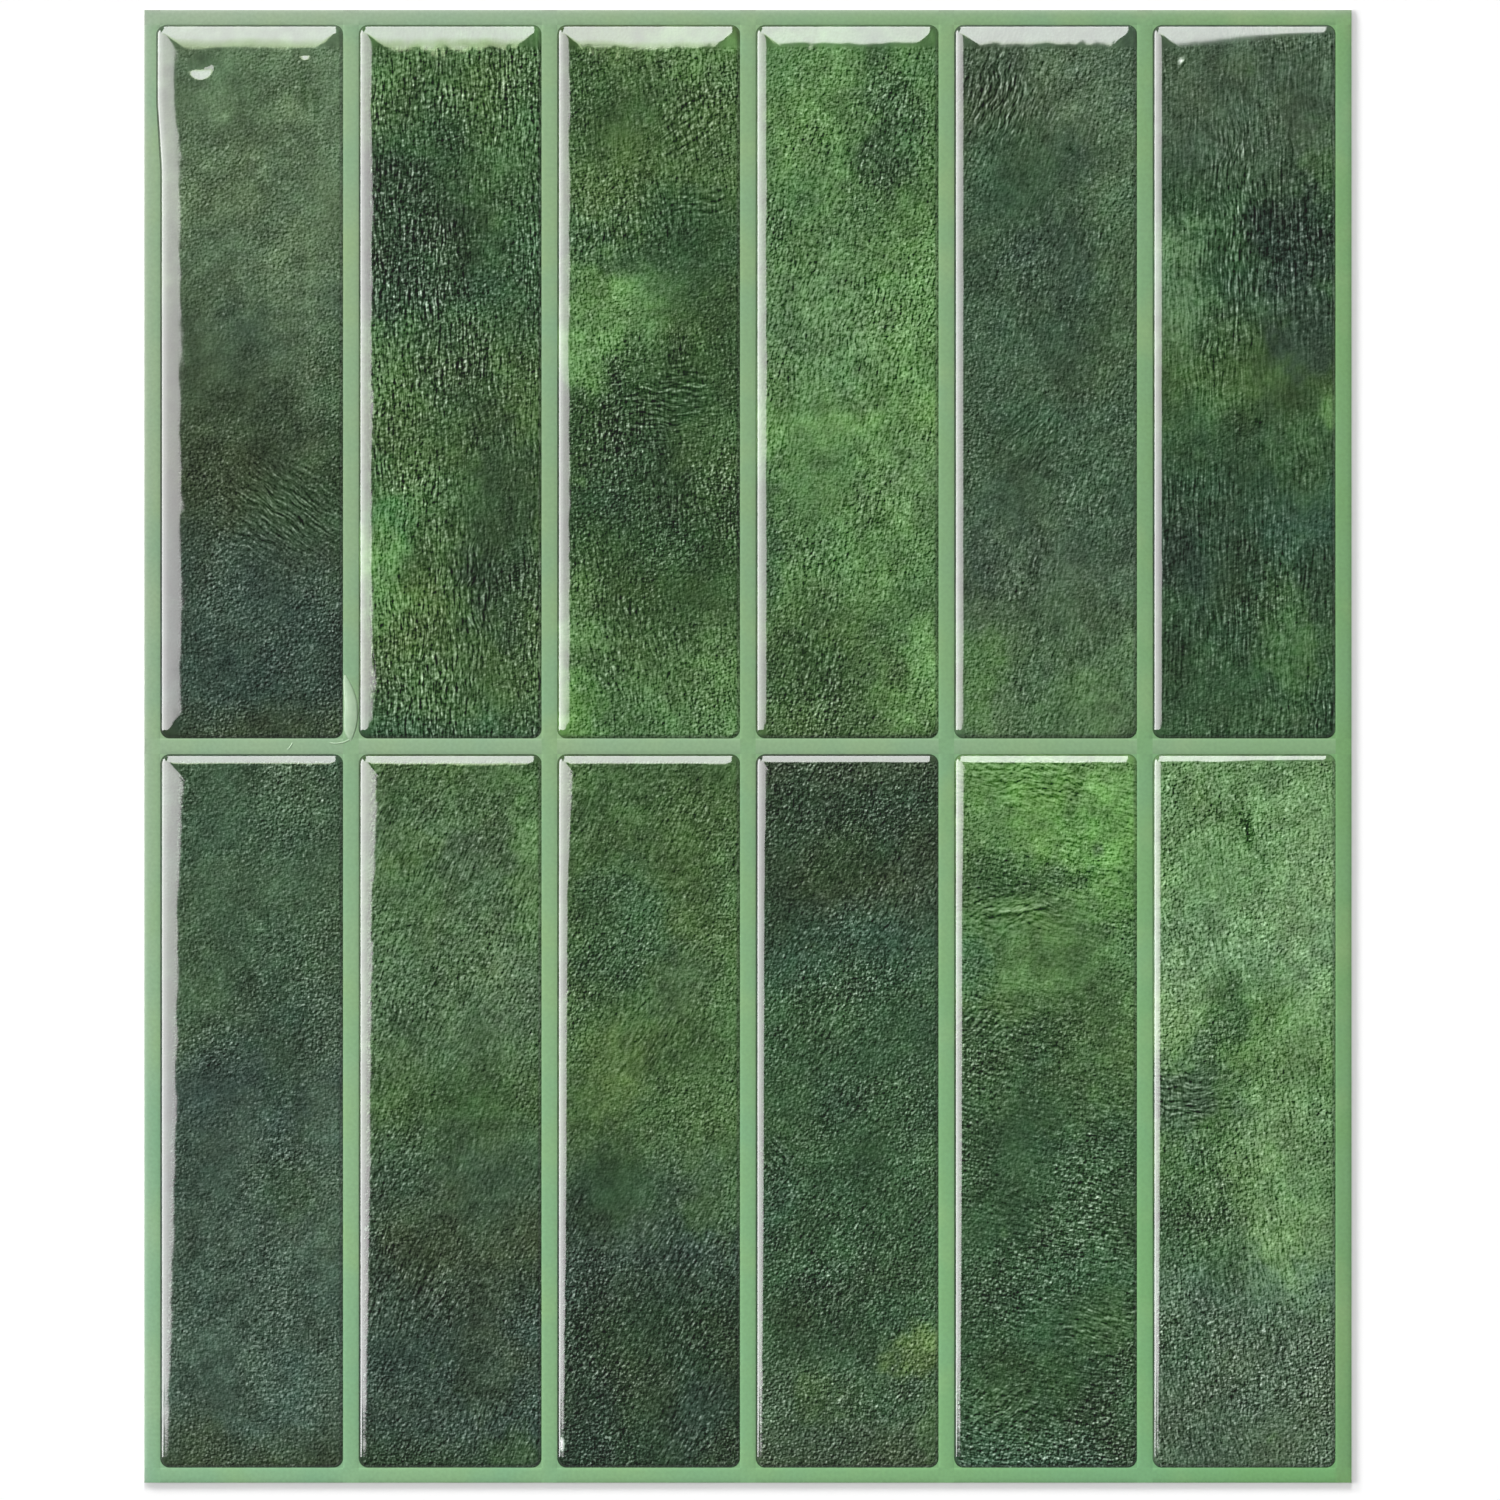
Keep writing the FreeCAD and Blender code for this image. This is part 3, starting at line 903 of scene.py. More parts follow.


# %% [markdown]
# ## Creases in the gel
# Here and there the gel's skin is nicked or creased. Each is a short line, listed one by one,
# with painted light on one side and painted shade on the other. A dark slit has painted shade on both
# sides.

# %% Crease marks
# Each crease is (across, down, to across, to down, bow in mm, painted light). A negative painted light is a
# slit.
CREASES = {
    (1, 1): [
        (0.78, 0.07, 0.8, 0.12, 0.2, -0.08), (0.84, 0.09, 0.86, 0.13, 0.2, -0.07),
        (0.3, 0.63, 0.9, 0.7, -1.5, 0.07),
    ],
    (1, 3): [
        (0.25, 0.21, 0.4, 0.213, 0.4, 0.12), (0.72, 0.235, 0.9, 0.228, -0.6, 0.12),
        (0.6, 0.13, 0.78, 0.1, 0.5, 0.1),
    ],
    (1, 4): [
        (0.2, 0.075, 0.34, 0.06, 0.5, 0.08), (0.6, 0.7, 0.72, 0.69, 0.3, -0.1),
    ],
    (1, 5): [
        (0.3, 0.56, 0.52, 0.51, 0.9, 0.1), (0.5, 0.62, 0.6, 0.635, 0.4, 0.1),
        (0.62, 0.17, 0.65, 0.18, 0.1, -0.12),
    ],
    (1, 6): [
        (0.55, 0.555, 0.6, 0.56, 0.2, -0.12), (0.57, 0.59, 0.61, 0.595, 0.2, -0.1),
        # The last mark here is a painted glint: a bright nick with little painted shade
        (0.15, 0.056, 0.172, 0.05, 0.1, 0.9),
    ],
    (2, 1): [
        (0.6, 0.22, 0.61, 0.28, 0.2, 0.09), (0.25, 0.31, 0.33, 0.33, 0.8, 0.08),
        (0.4, 0.8, 0.55, 0.79, 0.5, 0.06),
    ],
    (2, 2): [
        (0.9, 0.2, 0.95, 0.26, -0.6, 0.1), (0.63, 0.74, 0.68, 0.742, 0.2, 0.12),
        (0.35, 0.79, 0.43, 0.78, 0.3, 0.1),
    ],
    (2, 3): [
        # The first mark here is a painted highlight: a small bright patch at the foot of the left light
        # band
        (0.018, 0.957, 0.018, 0.976, 0.0, 1.2), (0.38, 0.42, 0.46, 0.385, 0.4, 0.1),
        (0.32, 0.45, 0.4, 0.425, 0.3, 0.1), (0.76, 0.77, 0.81, 0.767, 0.2, 0.1),
    ],
    (2, 4): [
        (0.1, 0.54, 0.18, 0.58, 0.4, 0.12), (0.23, 0.31, 0.27, 0.312, 0.2, 0.1),
        (0.86, 0.92, 0.98, 0.915, 0.6, 0.08), (0.58, 0.945, 0.62, 0.955, 0.2, 0.14),
    ],
    (2, 5): [
        (0.2, 0.222, 0.56, 0.207, -0.8, 0.28), (0.1, 0.4, 0.22, 0.37, 0.5, 0.1),
        (0.18, 0.485, 0.24, 0.475, 0.2, 0.1), (0.7, 0.59, 0.95, 0.57, -0.9, 0.1),
        (0.28, 0.62, 0.36, 0.61, 0.3, 0.1), (0.35, 0.812, 0.55, 0.808, 0.5, 0.09),
        (0.06, 0.95, 0.42, 0.885, 0.8, 0.12), (0.12, 0.965, 0.45, 0.91, 0.8, 0.1),
        (0.7, 0.175, 0.79, 0.17, 0.3, -0.14),
    ],
    (2, 6): [
        (0.515, 0.085, 0.525, 0.132, 0.0, -0.3), (0.43, 0.08, 0.47, 0.083, 0.2, -0.12),
        (0.3, 0.21, 0.34, 0.24, 0.3, 0.08),
    ],
}
# The width of the two lines and their offset from the middle in mm, the share of the painted light at
# the ends of a crease, and the most painted shade
CREASE_WIDTH = 0.42
CREASE_OFFSET = 0.7 * CREASE_WIDTH
END_PAINTED_LIGHT = 0.35
MOST_PAINTED_SHADE = 0.25


def painted_crease_light(x, y, key):
    """Painted light and shade of the creases in screen values: a bright gaussian beside a dark one along
    each.

    A crease bows by a parabola, 4 t (1 - t) of its bow, which also fades it towards its ends.
    """
    light = np.zeros_like(x)
    for across, depth, to_across, to_depth, bow, strength in CREASES.get(key, []):
        start = np.array([across * tile_width, depth * tile_length])
        run = np.array([to_across * tile_width, to_depth * tile_length]) - start
        length = np.hypot(*run)
        along = ((x - start[0]) * run[0] + (y - start[1]) * run[1]) / length ** 2
        off = ((x - start[0]) * run[1] - (y - start[1]) * run[0]) / length
        inside = np.clip(along, 0.0, 1.0)
        arch = 4.0 * inside * (1.0 - inside)
        off = off - bow * arch
        beyond = (along - inside) * length
        reach = np.exp(-(beyond / CREASE_WIDTH) ** 2) * np.clip(arch + END_PAINTED_LIGHT, 0.0, 1.0)
        lit = np.exp(-((off - CREASE_OFFSET) / CREASE_WIDTH) ** 2)
        shade = np.exp(-((off + CREASE_OFFSET) / CREASE_WIDTH) ** 2)
        light = light + reach * (strength * lit - min(abs(strength), MOST_PAINTED_SHADE) * shade)
    return light


print("creases", sum(len(creases) for creases in CREASES.values()))


# %% [markdown]
# ## Building a tile
# The top is a grid of quads whose edge lies on the film. A fan of triangles to one point
# under the middle closes it below. Colour, masks and flow go along as attributes of the
# vertices, where the material reads them.

# %% Mesh from a grid
def closed_grid(name, x, y, z, floor_z):
    """A closed mesh: a grid of points, rows down and columns across, and a fan beneath it."""
    rows, columns = x.shape
    index = np.arange(rows * columns).reshape(rows, columns)
    quads = np.stack([index[1:, :-1], index[1:, 1:], index[:-1, 1:], index[:-1, :-1]], axis=-1)
    quads = quads.reshape(-1, 4)
    ring = np.concatenate([index[0, :-1], index[:-1, -1], index[-1, :0:-1], index[:0:-1, 0]])
    middle = rows * columns
    fan = np.stack([ring, np.roll(ring, -1), np.full(len(ring), middle)], axis=-1)
    points = np.stack([x.ravel(), y.ravel(), z.ravel()], axis=-1)
    points = np.vstack([points, [[x.mean(), y.mean(), floor_z]]])
    corners = np.concatenate([quads.ravel(), fan.ravel()]).astype(np.int32)
    sizes = np.concatenate([np.full(len(quads), 4), np.full(len(fan), 3)])
    starts = np.concatenate([[0], np.cumsum(sizes)[:-1]]).astype(np.int32)
    mesh = bpy.data.meshes.new(name)
    mesh.vertices.add(len(points))
    mesh.vertices.foreach_set("co", points.astype(np.float32).ravel())
    mesh.loops.add(len(corners))
    mesh.loops.foreach_set("vertex_index", corners)
    mesh.polygons.add(len(sizes))
    mesh.polygons.foreach_set("loop_start", starts)
    smooth = np.ones(len(sizes), dtype=bool)
    smooth[len(quads):] = False
    mesh.polygons.foreach_set("use_smooth", smooth)
    mesh.update(calc_edges=True)
    mesh.validate()
    piece = bpy.data.objects.new(name, mesh)
    bpy.context.scene.collection.objects.link(piece)
    return piece


def give(piece, name, kind, values):
    """Stores one value, vector or colour for each vertex. The fan's point gets the first one."""
    values = np.vstack([values, values[:1]]).astype(np.float32)
    layer = piece.data.attributes.new(name, kind, "POINT")
    layer.data.foreach_set("color" if kind == "FLOAT_COLOR" else "vector", values.ravel())


# %% Make one tile
# Sizes of the finest wrinkles and ripples in mm. Two tiles have longer, streaky wrinkles.
WRINKLE_WIDTH = 0.76
WRINKLE_LENGTH = 2.7
STREAKS = {(1, 2): 1.3, (1, 6): 2.2}
RIPPLE_WIDTH = 0.9
RIPPLE_LENGTH = 3.0
# One tile was cast with its upper left side bulging out over the film, by this much in mm at
# most, and by these shares of it at these mm from its top
LEANING_TILE = (1, 1)
LEAN = 0.85
LEAN_STOPS = (0.0, 2.0, 16.0, 30.0)
LEAN_SHARES = (0.75, 1.0, 1.0, 0.0)


def gel_tile(row, column):
    """One tile: the dome over its rounded grid, its relief, and its print as attributes."""
    key = (row, column)
    seed = 1000 * row + 100 * column
    low, high = tile_boxes[key]
    x, y = np.meshgrid(across_stations, down_stations)
    relief, masks, wrinkle_flow, ripple_flow = skin(x, y, key, seed)
    z = dome(rim_distance(x, y), fullness_at(y, key)) + relief
    round_x, round_y = rounded(x, y)
    if key == LEANING_TILE:
        bulge = LEAN * (1.0 - x / tile_width) * np.interp(round_y, LEAN_STOPS, LEAN_SHARES)
        round_x = round_x - bulge
    top_z = (film_top + np.maximum(z, 0.0)) * MM
    piece = closed_grid(
        f"tile_r{row}_c{column}", low[0] + round_x * MM, high[1] - round_y * MM, top_z, film_top * MM,
    )
    # The print's colour, with the painted rim light, painted foot shade and painted crease light and shade
    # added in
    colour = glaze_colour(x, y, key, seed + 500) + painted_crease_light(x, y, key)[..., None]
    colour = np.clip(colour, 0.0, 1.0).reshape(-1, 3)
    give(piece, "glaze", "FLOAT_COLOR", np.hstack([colour, np.ones((len(colour), 1))]))
    give(piece, "skin", "FLOAT_VECTOR", np.stack([mask.ravel() for mask in masks], axis=-1))
    own = np.full(x.size, float(seed))
    for name, flow, width, length in (
        ("wrinkle_flow", wrinkle_flow, WRINKLE_WIDTH, WRINKLE_LENGTH * STREAKS.get(key, 1.0)),
        ("ripple_flow", ripple_flow, RIPPLE_WIDTH, RIPPLE_LENGTH),
    ):
        lines = [flow[0].ravel() / width, flow[1].ravel() / length, own]
        give(piece, name, "FLOAT_VECTOR", np.stack(lines, axis=-1))
    return piece


# %% [markdown]
# ## Gel material
# The clear gel is a gloss coat over the print. Only the coat follows the dome. The print
# lies flat under it, so its shading uses one direction, straight out of the sheet, and the
# dome doesn't darken its far side. The finest grain's light and shade is painted into the
# print: painted lit and shaded sides of small beads and wrinkles, noise less the same noise a
# step further on, and painted glints on their tops. It is added to the print in screen values,
# because light on a clear skin adds grey to every colour alike.

# %% Gel material
# Sizes and bead steps are in mm, and the side step is a share of a wrinkle's width. Contrasts
# of the painted light and shade, the painted speck light and the sink, which keeps the painted
# grain from brightening a tile, are in screen values.
BEAD_SIZE = 0.58
BEAD_STEP = 0.19
BEAD_CONTRAST = 1.1
# Specks are painted glints on the beads
SPECK_SIZE = 0.75
SPECK_START = 0.63
SPECK_FULL = 0.75
PAINTED_SPECK_LIGHT = 0.3
BEAD_BODY = 0.7
WRINKLE_CONTRAST = 1.27
RIPPLE_CONTRAST = 1.0
SIDE_STEP = 0.36
CLOT_SIZE = 0.85
CLOT_SHARE = 0.7
GRAIN_SINK = -0.019
# Where the glaze is dark the tops of the grain get painted glints, and where it is bright they
# are dull and the hollows get deeper painted shade instead. These are the green of a dark and of
# a bright glaze, and the gain of the grain's painted lights and of its painted darks at both
DARK_GLAZE = 0.34
BRIGHT_GLAZE = 0.5
PAINTED_GLINT = (0.8, -0.35)
PAINTED_HOLLOW_SHADE = (0.0, 0.4)
GRAIN_MIDDLE = 0.05
DARKEST = 0.07
SCREEN_GAMMA = 2.2
COAT_ROUGHNESS = 0.045
COAT_BUMP = 0.1
PRINT_BUMP = 0.2
BUMP_DEPTH = 0.05


def attribute(tree, name, output="Vector"):
    """A value stored on the mesh."""
    return add(tree, "ShaderNodeAttribute", {"attribute_name": name}).outputs[output]


def painted_lit_side(tree, place, scale, step, detail=1.5, roughness=0.6):
    """Painted light and shade: noise less the noise a step further on, and the noise itself."""
    stepped = add(tree, "ShaderNodeVectorMath", {"operation": "ADD"}, i0=place, i1=step).outputs[0]
    here = noise(tree, place, scale, detail, roughness)
    there = noise(tree, stepped, scale, detail, roughness)
    return maths(tree, "SUBTRACT", here, there), here


def painted_skin_shading(tree, masks):
    """The painted light and shade of wrinkles, ripples and beads in screen values, and their height."""
    side = (SIDE_STEP, 0.0, 0.0)
    wrinkle, wrinkle_height = painted_lit_side(tree, attribute(tree, "wrinkle_flow"), 1.0, side)
    clot = noise(tree, object_place(tree), 1.0 / (CLOT_SIZE * MM), detail=1.0)
    wrinkle = maths(tree, "MULTIPLY_ADD", maths(tree, "SUBTRACT", clot, 0.5), CLOT_SHARE, wrinkle)
    ripple, ripple_height = painted_lit_side(tree, attribute(tree, "ripple_flow"), 1.0, side)
    diagonal = (BEAD_STEP * MM, -BEAD_STEP * MM, 0.0)
    fine = 1.0 / (BEAD_SIZE * MM)
    bead, bead_height = painted_lit_side(tree, object_place(tree), fine, diagonal, detail=1.0, roughness=0.5)
    bead = maths(tree, "MULTIPLY_ADD", maths(tree, "SUBTRACT", bead_height, 0.5), BEAD_BODY, bead)
    grain, height = GRAIN_SINK, 0.0
    for value, rise, mask, contrast in (
        (wrinkle, wrinkle_height, masks["X"], WRINKLE_CONTRAST),
        (ripple, ripple_height, masks["Y"], RIPPLE_CONTRAST),
        (bead, bead_height, masks["Z"], BEAD_CONTRAST),
    ):
        grain = maths(tree, "MULTIPLY_ADD", value, maths(tree, "MULTIPLY", mask, contrast), grain)
        height = maths(tree, "MULTIPLY_ADD", rise, mask, height)
    return grain, height


def with_painted_glints(tree, grain, glaze, beads):
    """The painted grain with its painted lights and darks changed by how dark the glaze is, and a few
    painted glinting specks.
    """
    green = add(tree, "ShaderNodeSeparateColor", None, Color=glaze).outputs["Green"]
    light_part = maths(tree, "MAXIMUM", maths(tree, "SUBTRACT", grain, GRAIN_MIDDLE), 0.0)
    dark_part = maths(tree, "MINIMUM", maths(tree, "ADD", grain, GRAIN_MIDDLE), 0.0)
    for part, gains in ((light_part, PAINTED_GLINT), (dark_part, PAINTED_HOLLOW_SHADE)):
        gain = spread(tree, green, DARK_GLAZE, BRIGHT_GLAZE, *gains)
        grain = maths(tree, "MULTIPLY_ADD", part, gain, grain)
    speck = noise(tree, object_place(tree), 1.0 / (SPECK_SIZE * MM), detail=0.0)
    speck = spread(tree, speck, SPECK_START, SPECK_FULL, 0.0, PAINTED_SPECK_LIGHT)
    return maths(tree, "MULTIPLY_ADD", speck, beads, grain)


def gel_material():
    """Clear gloss coat over the mottled print, with the grain's light, shade and glints painted into it."""
    material, tree = new_material("gel_over_print")
    masks = add(tree, "ShaderNodeSeparateXYZ", None, Vector=attribute(tree, "skin")).outputs
    # The print's colour, which already holds painted rim light, foot shade and crease light and shade
    glaze = attribute(tree, "glaze", "Color")
    grain, height = painted_skin_shading(tree, masks)
    grain = with_painted_glints(tree, grain, glaze, masks["Z"])
    lit = add(tree, "ShaderNodeVectorMath", {"operation": "ADD"}, i0=glaze, i1=grain).outputs[0]
    lit = add(tree, "ShaderNodeVectorMath", {"operation": "MAXIMUM"}, i0=lit, i1=(DARKEST,) * 3).outputs[0]
    print_colour = add(tree, "ShaderNodeGamma", None, Color=lit, Gamma=SCREEN_GAMMA).outputs[0]
    settings = {"vector_type": "NORMAL", "convert_from": "OBJECT", "convert_to": "WORLD"}
    outward = add(tree, "ShaderNodeVectorTransform", settings, i0=(0.0, 0.0, 1.0)).outputs[0]
    shader = add(
        tree, "ShaderNodeBsdfPrincipled", None,
        Base_Color=print_colour, Roughness=0.6, Specular_IOR_Level=0.0,
        Normal=bumped(tree, height, PRINT_BUMP, BUMP_DEPTH, Normal=outward),
        Coat_Weight=1.0, Coat_Roughness=COAT_ROUGHNESS, Coat_IOR=1.5,
        Coat_Normal=bumped(tree, height, COAT_BUMP, BUMP_DEPTH),
    )
    finish_material(tree, shader)
    return material


gel = gel_material()
triangles = 0
for row in ROWS:
    for column in COLUMNS:
        tile = gel_tile(row, column)
        tile.data.materials.append(gel)
        # Clear gel lets the light through to the film, so a tile throws no shadow on it
        tile.visible_shadow = False
        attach(tile, "root")
        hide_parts(tile_node(row, column))
        triangles += sum(len(face.vertices) - 2 for face in tile.data.polygons)
print("triangles in the tiles", triangles)

# %% [markdown]
# ## Printed film
# The film between the tiles is flat and keeps its CAD mesh. It is a satin vinyl whose green
# drifts from sage on the left to leaf on the right and is greener low down, with softer
# clouds along the lines. Beside each tile a bright fringe is painted on one side of each gap
# and a soft shade on the other, as painted light and shade of the gel. The film is paler
# along its left and top rim, and has painted shade at the cut edges on the right and below.

# %% Film material
FILM_LEFT = (142, 171, 132)
FILM_RIGHT = (113, 158, 101)
FILM_COOL = (120, 162, 128)
FILM_WARM = (142, 171, 118)
FILM_PALE = (156, 174, 148)
FILM_RIM = (176, 182, 172)
# Clouds are (noise scale to the metre, low, high), and the cool ones fade to the right
COOL_CLOUDS = (42.0, 0.42, 0.68)
COOL_SHARES = (0.7, 0.3)
WARM_CLOUDS = (63.0, 0.5, 0.74)
WARM_SHARE = 0.6
# How pale the top margin is, and between which shares of the width that ends, and how pale
# the gap in the middle and the left and top rim are
TOP_PALE = 0.5
TOP_FADE = (0.05, 0.5)
ROW_PALE = 0.3
RIM_PALE = 0.55
# The sheet turns greener between these heights in metres, but not right of the last tiles
LOW_TINT = (1.0, 1.15, 1.1)
LOW_FADE = (0.04, -0.1)
SOFT_EDGE = 0.5 * MM
# Painted light and shade of the gel beside the gaps and painted shade at the cut edges, as shares, and
# their reaches in mm
RIM_REACH = 0.8
PAINTED_FRINGE_GAIN = 0.3
FRINGE_REACH = 0.35
PAINTED_GAP_SHADE = 0.2
SHADE_REACH = 0.7
PAINTED_CUT_SHADE = 0.22
CUT_REACH = 0.35
# Fine grain of the vinyl: noise scale, low and high with the gains at both, and the scale of
# its tooth with its bump as (strength, depth in mm)
VINYL_GRAIN = 1400.0
GRAIN_ENDS = (0.3, 0.7, 0.95, 1.05)
VINYL_TOOTH = 260.0
VINYL_BUMP = (0.15, 0.04)
# A whole number of tiles, so that no place is negative when it is folded
TILES_AHEAD = 64.0
film_low, film_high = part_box("printed_film")
last_high = tile_boxes[(1, 6)][1]
column_pitch = tile_boxes[(1, 2)][0][0] - tile_boxes[(1, 1)][0][0]
row_pitch = tile_boxes[(1, 1)][0][1] - tile_boxes[(2, 1)][0][1]
column_gap = column_pitch - tile_width * MM
row_gap = row_pitch - tile_length * MM


def fall(tree, distance, reach):
    """1 at no distance, and exp(-distance / reach) beyond."""
    power = maths(tree, "MULTIPLY", maths(tree, "MAXIMUM", distance, 0.0), -1.0 / (reach * MM))
    return maths(tree, "EXPONENT", power)


def painted_gap_light(tree, place, first_edge, pitch, gap, grows):
    """The gain across the gap after a tile, painted bright fringe then painted shade, and where the gap is.

    place is folded into one pitch of the pattern, starting where a tile ends. grows is the
    way the light travels, 1 when the gap follows the tile in that direction.
    """
    folded = maths(tree, "MULTIPLY", maths(tree, "SUBTRACT", place, first_edge), grows / pitch)
    into = maths(tree, "MULTIPLY", maths(tree, "FRACT", maths(tree, "ADD", folded, TILES_AHEAD)), pitch)
    inside = maths(tree, "LESS_THAN", into, gap)
    bright = maths(tree, "MULTIPLY", fall(tree, into, FRINGE_REACH), PAINTED_FRINGE_GAIN)
    shade = maths(tree, "MULTIPLY", fall(tree, maths(tree, "SUBTRACT", gap, into), SHADE_REACH), PAINTED_GAP_SHADE)
    return maths(tree, "SUBTRACT", bright, shade), inside


def film_green(tree, place, x, y, only_row):
    """The printed green: its drift, its clouds, and where it is pale or greener."""
    drift = spread(tree, x, film_low[0], film_high[0])
    cool = spread(tree, drift, 0.0, 1.0, *COOL_SHARES)
    cool = maths(tree, "MULTIPLY", cloudy(tree, place, *COOL_CLOUDS), cool)
    warm = maths(tree, "MULTIPLY", cloudy(tree, place, *WARM_CLOUDS), WARM_SHARE)
    top_margin = spread(tree, y, first_high[1] - SOFT_EDGE, first_high[1] + SOFT_EDGE, 0.0, TOP_PALE)
    top_margin = maths(tree, "MULTIPLY", top_margin, spread(tree, drift, *TOP_FADE, 1.0, 0.0))
    middle_row = maths(tree, "LESS_THAN", maths(tree, "ABSOLUTE", y), row_pitch / 2)
    middle_row = maths(tree, "MULTIPLY", middle_row, only_row)
    pale = maths(tree, "MULTIPLY_ADD", middle_row, ROW_PALE, top_margin)
    left_rim = fall(tree, maths(tree, "SUBTRACT", x, film_low[0]), RIM_REACH)
    top_rim = fall(tree, maths(tree, "SUBTRACT", film_high[1], y), RIM_REACH)
    rim = maths(tree, "MULTIPLY", maths(tree, "MAXIMUM", left_rim, top_rim), RIM_PALE)
    base = mixed(tree, drift, rgba(FILM_LEFT), rgba(FILM_RIGHT))
    for share, colour in ((cool, FILM_COOL), (warm, FILM_WARM), (pale, FILM_PALE), (rim, FILM_RIM)):
        base = mixed(tree, share, base, rgba(colour))
    left_of_margin = spread(tree, x, last_high[0] - SOFT_EDGE, last_high[0] + SOFT_EDGE, 1.0, 0.0)
    low = maths(tree, "MULTIPLY", spread(tree, y, *LOW_FADE), left_of_margin)
    return mixed(tree, low, base, (*LOW_TINT, 1.0), "MULTIPLY")


def film_material():
    """Satin vinyl with slow drifts of green, with the gel's light and shade beside it painted in."""
    material, tree = new_material("printed_film")
    place = object_place(tree)
    axes = add(tree, "ShaderNodeSeparateXYZ", None, Vector=place)
    x, y = axes.outputs["X"], axes.outputs["Y"]
    across, in_column_gap = painted_gap_light(tree, x, first_high[0], column_pitch, column_gap, 1.0)
    down, in_row_gap = painted_gap_light(tree, y, first_low[1], row_pitch, row_gap, -1.0)
    only_column = maths(tree, "MAXIMUM", maths(tree, "SUBTRACT", in_column_gap, in_row_gap), 0.0)
    only_row = maths(tree, "MAXIMUM", maths(tree, "SUBTRACT", in_row_gap, in_column_gap), 0.0)
    # Painted light and shade beside the tiles
    beside = maths(tree, "MULTIPLY_ADD", down, only_row, maths(tree, "MULTIPLY", across, only_column))
    # Painted shade at the right and lower cut edges
    right_edge = fall(tree, maths(tree, "SUBTRACT", film_high[0], x), CUT_REACH)
    bottom_edge = fall(tree, maths(tree, "SUBTRACT", y, film_low[1]), CUT_REACH)
    cut = maths(tree, "MULTIPLY", maths(tree, "MAXIMUM", right_edge, bottom_edge), -PAINTED_CUT_SHADE)
    grain = spread(tree, noise(tree, place, VINYL_GRAIN, detail=1.0), *GRAIN_ENDS)
    gain = maths(tree, "ADD", beside, maths(tree, "ADD", cut, grain))
    base = film_green(tree, place, x, y, only_row)
    colour = add(tree, "ShaderNodeVectorMath", {"operation": "SCALE"}, i0=base, Scale=gain).outputs[0]
    tooth = bumped(tree, noise(tree, place, VINYL_TOOTH, detail=3.0), *VINYL_BUMP)
    shader = add(
        tree, "ShaderNodeBsdfPrincipled", None,
        Base_Color=colour, Roughness=0.5, Specular_IOR_Level=0.12, Normal=tooth,
    )
    finish_material(tree, shader)
    return material


def clothe(node, material):
    """Gives a CAD node's object a material in place of its plain one."""
    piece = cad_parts[node]
    piece.data.materials.clear()
    piece.data.materials.append(material)


clothe("printed_film", film_material())
print("gaps in mm", round(column_gap / MM, 2), round(row_gap / MM, 2))

# %% [markdown]
# ## The creased film
# Between the first two tiles of the top row the film has lifted in a small blister, and a
# fine crease runs from it over the crossing. They are thin skins of the same vinyl that lie
# on the film. Where it is lifted the vinyl is glossier, and painted light makes it paler, for the light the
# raised skin catches.

# %% Lifted film
# Places in mm on the sheet, from its middle. A skin lies between two side curves.
BLISTER_LEFT = [(-83.6, 14.9), (-83.72, 11.0), (-83.72, 6.0), (-83.3, 2.4), (-82.3, 1.1)]
BLISTER_RIGHT = [(-83.5, 15.0), (-81.6, 11.6), (-80.75, 8.2), (-80.9, 4.6), (-82.2, 1.0)]
CREASE_PATH = [(-82.2, 1.6), (-83.6, 0.9), (-85.2, 0.6), (-86.6, 0.75)]
SCRATCH_PATH = [(-94.3, 0.9), (-94.6, 0.1), (-95.4, -0.7)]
RIDGE_WIDTH = 0.32
RIDGE_HEIGHT = 0.07
BLISTER_HEIGHT = 0.16
LIFTED_STEPS = 48
LIFTED_COLUMNS = 13
# Both are the film's green with painted light, paler than the film around them
LIFTED_DARK = (148, 178, 144)
LIFTED_PALE = (164, 190, 158)
# Clouds of the stretched vinyl, the scale of its tooth, and its bump
STRETCH_CLOUDS = (500.0, 0.35, 0.65)
STRETCH_TOOTH = 900.0
STRETCH_BUMP = (0.2, 0.03)


def smooth_path(points):
    """A soft curve: the one polynomial of lowest degree that goes through all the points."""
    spans = np.hypot(*np.diff(points, axis=0).T)
    reached = np.concatenate([[0.0], np.cumsum(spans)]) / spans.sum()
    degree = len(points) - 1
    coefficients = np.polyfit(reached, np.array(points), degree)
    return np.linspace(0.0, 1.0, LIFTED_STEPS)[:, None] ** np.arange(degree, -1, -1) @ coefficients


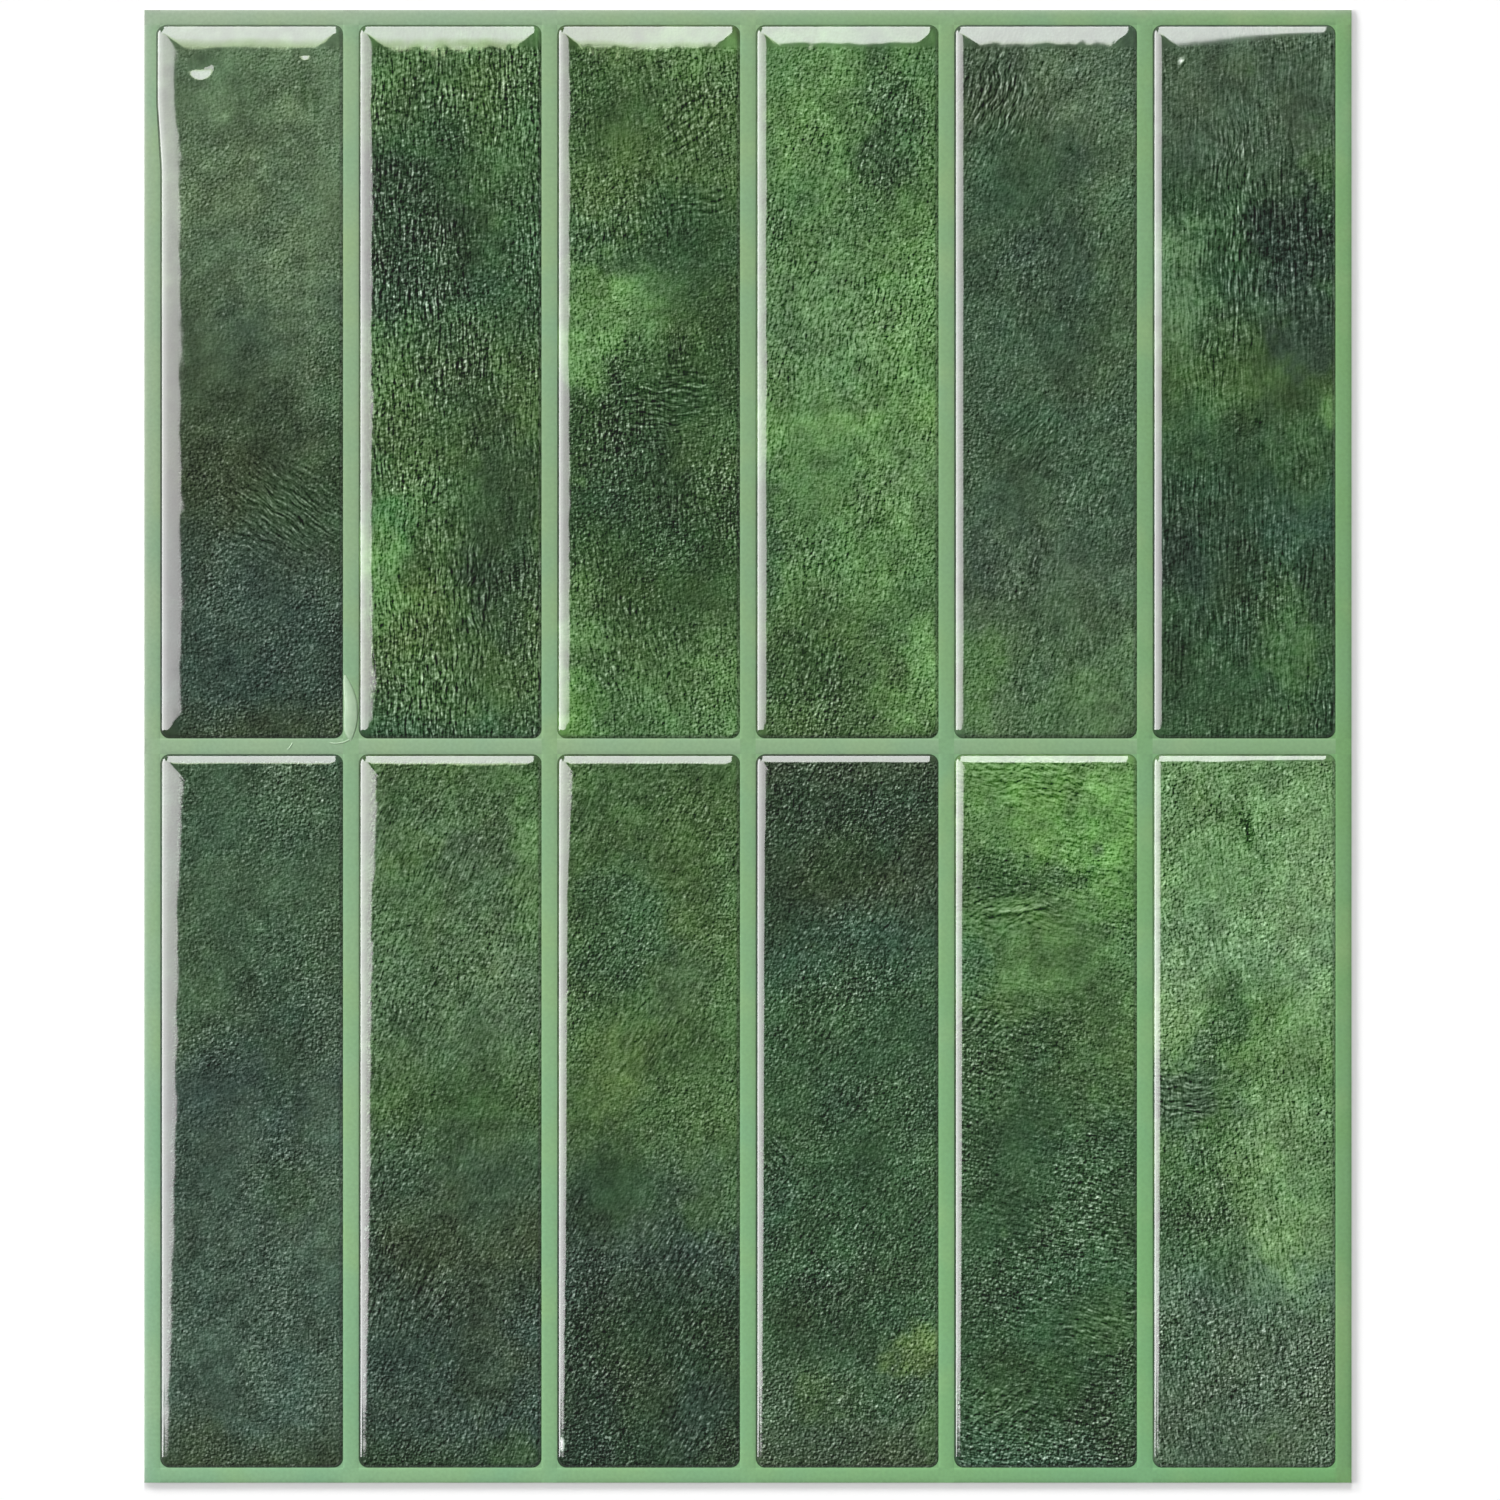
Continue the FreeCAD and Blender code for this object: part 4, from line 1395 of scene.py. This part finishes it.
def lifted_film(name, left, right, rise, material):
    """A closed skin between two side curves. It rises as the root of sin(pi r) sin(pi t)."""
    t = np.linspace(0.0, 1.0, LIFTED_STEPS)[:, None]
    r = np.linspace(0.0, 1.0, LIFTED_COLUMNS)[None, :]
    flat = left[:, None, :] * (1.0 - r[..., None]) + right[:, None, :] * r[..., None]
    z = rise * np.sqrt(np.maximum(np.sin(math.pi * r) * np.sin(math.pi * t), 0.0))
    top = np.dstack([flat, film_top + z])
    under = np.dstack([flat[:, ::-1], np.full_like(z, film_top)])[:, 1:-1]
    rings = np.concatenate([top, under], axis=1) * MM
    steps, around = rings.shape[:2]
    index = np.arange(steps * around).reshape(steps, around)
    turned_index = np.roll(index, -1, axis=1)
    quads = np.stack([index[:-1], index[1:], turned_index[1:], turned_index[:-1]], axis=-1)
    quads = quads.reshape(-1, 4)
    mesh = bpy.data.meshes.new(name)
    faces = [*quads.tolist(), index[0].tolist(), index[-1][::-1].tolist()]
    mesh.from_pydata(rings.reshape(-1, 3).tolist(), [], faces)
    mesh.polygons.foreach_set("use_smooth", np.ones(len(faces), dtype=bool))
    piece = bpy.data.objects.new(name, mesh)
    bpy.context.scene.collection.objects.link(piece)
    mesh.materials.append(material)
    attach(piece, "root")
    print(name, "rises", rise, "mm")


def ridge_sides(path, width):
    """The two sides of a ridge this wide along a path."""
    middle = smooth_path(path)
    along = np.gradient(middle, axis=0)
    across = np.stack([along[:, 1], -along[:, 0]], axis=-1) / np.hypot(*along.T)[:, None]
    return middle - across * width / 2, middle + across * width / 2


def lifted_material():
    """Glossier vinyl made paler by painted light, faintly cloudy where it is stretched."""
    material, tree = new_material("lifted_film")
    place = object_place(tree)
    colour = mixed(tree, cloudy(tree, place, *STRETCH_CLOUDS), rgba(LIFTED_DARK), rgba(LIFTED_PALE))
    tooth = bumped(tree, noise(tree, place, STRETCH_TOOTH, detail=2.0), *STRETCH_BUMP)
    shader = add(
        tree, "ShaderNodeBsdfPrincipled", None,
        Base_Color=colour, Roughness=0.32, Specular_IOR_Level=0.3, Normal=tooth,
    )
    finish_material(tree, shader)
    return material


lifted = lifted_material()
lifted_film("film_blister", smooth_path(BLISTER_LEFT), smooth_path(BLISTER_RIGHT), BLISTER_HEIGHT, lifted)
lifted_film("film_crease", *ridge_sides(CREASE_PATH, RIDGE_WIDTH), RIDGE_HEIGHT, lifted)
lifted_film("film_scratch", *ridge_sides(SCRATCH_PATH, RIDGE_WIDTH), RIDGE_HEIGHT, lifted)

# %% [markdown]
# ## Adhesive and liner
# Behind the film is a milky tacky coat, and behind that the siliconed paper that is peeled
# away. Both show at the edges, and the paper shows from behind. Paper is made lively by fine
# fibres and a faint cloudiness, and it has a soft sheen from its silicone.

# %% Adhesive and liner materials
GLUE_DARK = (206, 204, 192)
GLUE_PALE = (224, 222, 212)
GLUE_CLOUDS = (300.0, 0.35, 0.65)
PAPER_DARK = (226, 222, 208)
PAPER_PALE = (240, 238, 228)
# Fibres are this much finer across the sheet than along it, and the tone is part cloud, part fibre
FIBRE_STRETCH = (1.0, 0.22, 1.0)
FIBRE_SCALE = 1600.0
PAPER_CLOUD_SCALE = 120.0
CLOUD_PART = 0.6
FIBRE_PART = 0.4
TONE_ENDS = (0.38, 0.62)
PAPER_BUMP = (0.3, 0.02)


def adhesive_material():
    """Milky acrylic glue."""
    material, tree = new_material("adhesive")
    place = object_place(tree)
    milky = cloudy(tree, place, *GLUE_CLOUDS, detail=3.0)
    colour = mixed(tree, milky, rgba(GLUE_DARK), rgba(GLUE_PALE))
    shader = add(tree, "ShaderNodeBsdfPrincipled", None, Base_Color=colour, Roughness=0.3)
    finish_material(tree, shader)
    return material


def liner_material():
    """Siliconed paper with fibres that run mostly along the sheet."""
    material, tree = new_material("release_paper")
    place = object_place(tree)
    stretched = add(tree, "ShaderNodeMapping", None, Vector=place, Scale=FIBRE_STRETCH).outputs[0]
    fibre = noise(tree, stretched, FIBRE_SCALE, detail=3.0, roughness=0.7)
    clouding = noise(tree, place, PAPER_CLOUD_SCALE, detail=4.0)
    tone = maths(tree, "MULTIPLY_ADD", clouding, CLOUD_PART, maths(tree, "MULTIPLY", fibre, FIBRE_PART))
    colour = mixed(tree, spread(tree, tone, *TONE_ENDS), rgba(PAPER_DARK), rgba(PAPER_PALE))
    shader = add(
        tree, "ShaderNodeBsdfPrincipled", None,
        Base_Color=colour, Roughness=0.42, Specular_IOR_Level=0.4, Normal=bumped(tree, fibre, *PAPER_BUMP),
    )
    finish_material(tree, shader)
    return material


clothe("adhesive_layer", adhesive_material())
clothe("release_liner", liner_material())
print("finishes", *(material.name for material in bpy.data.materials))
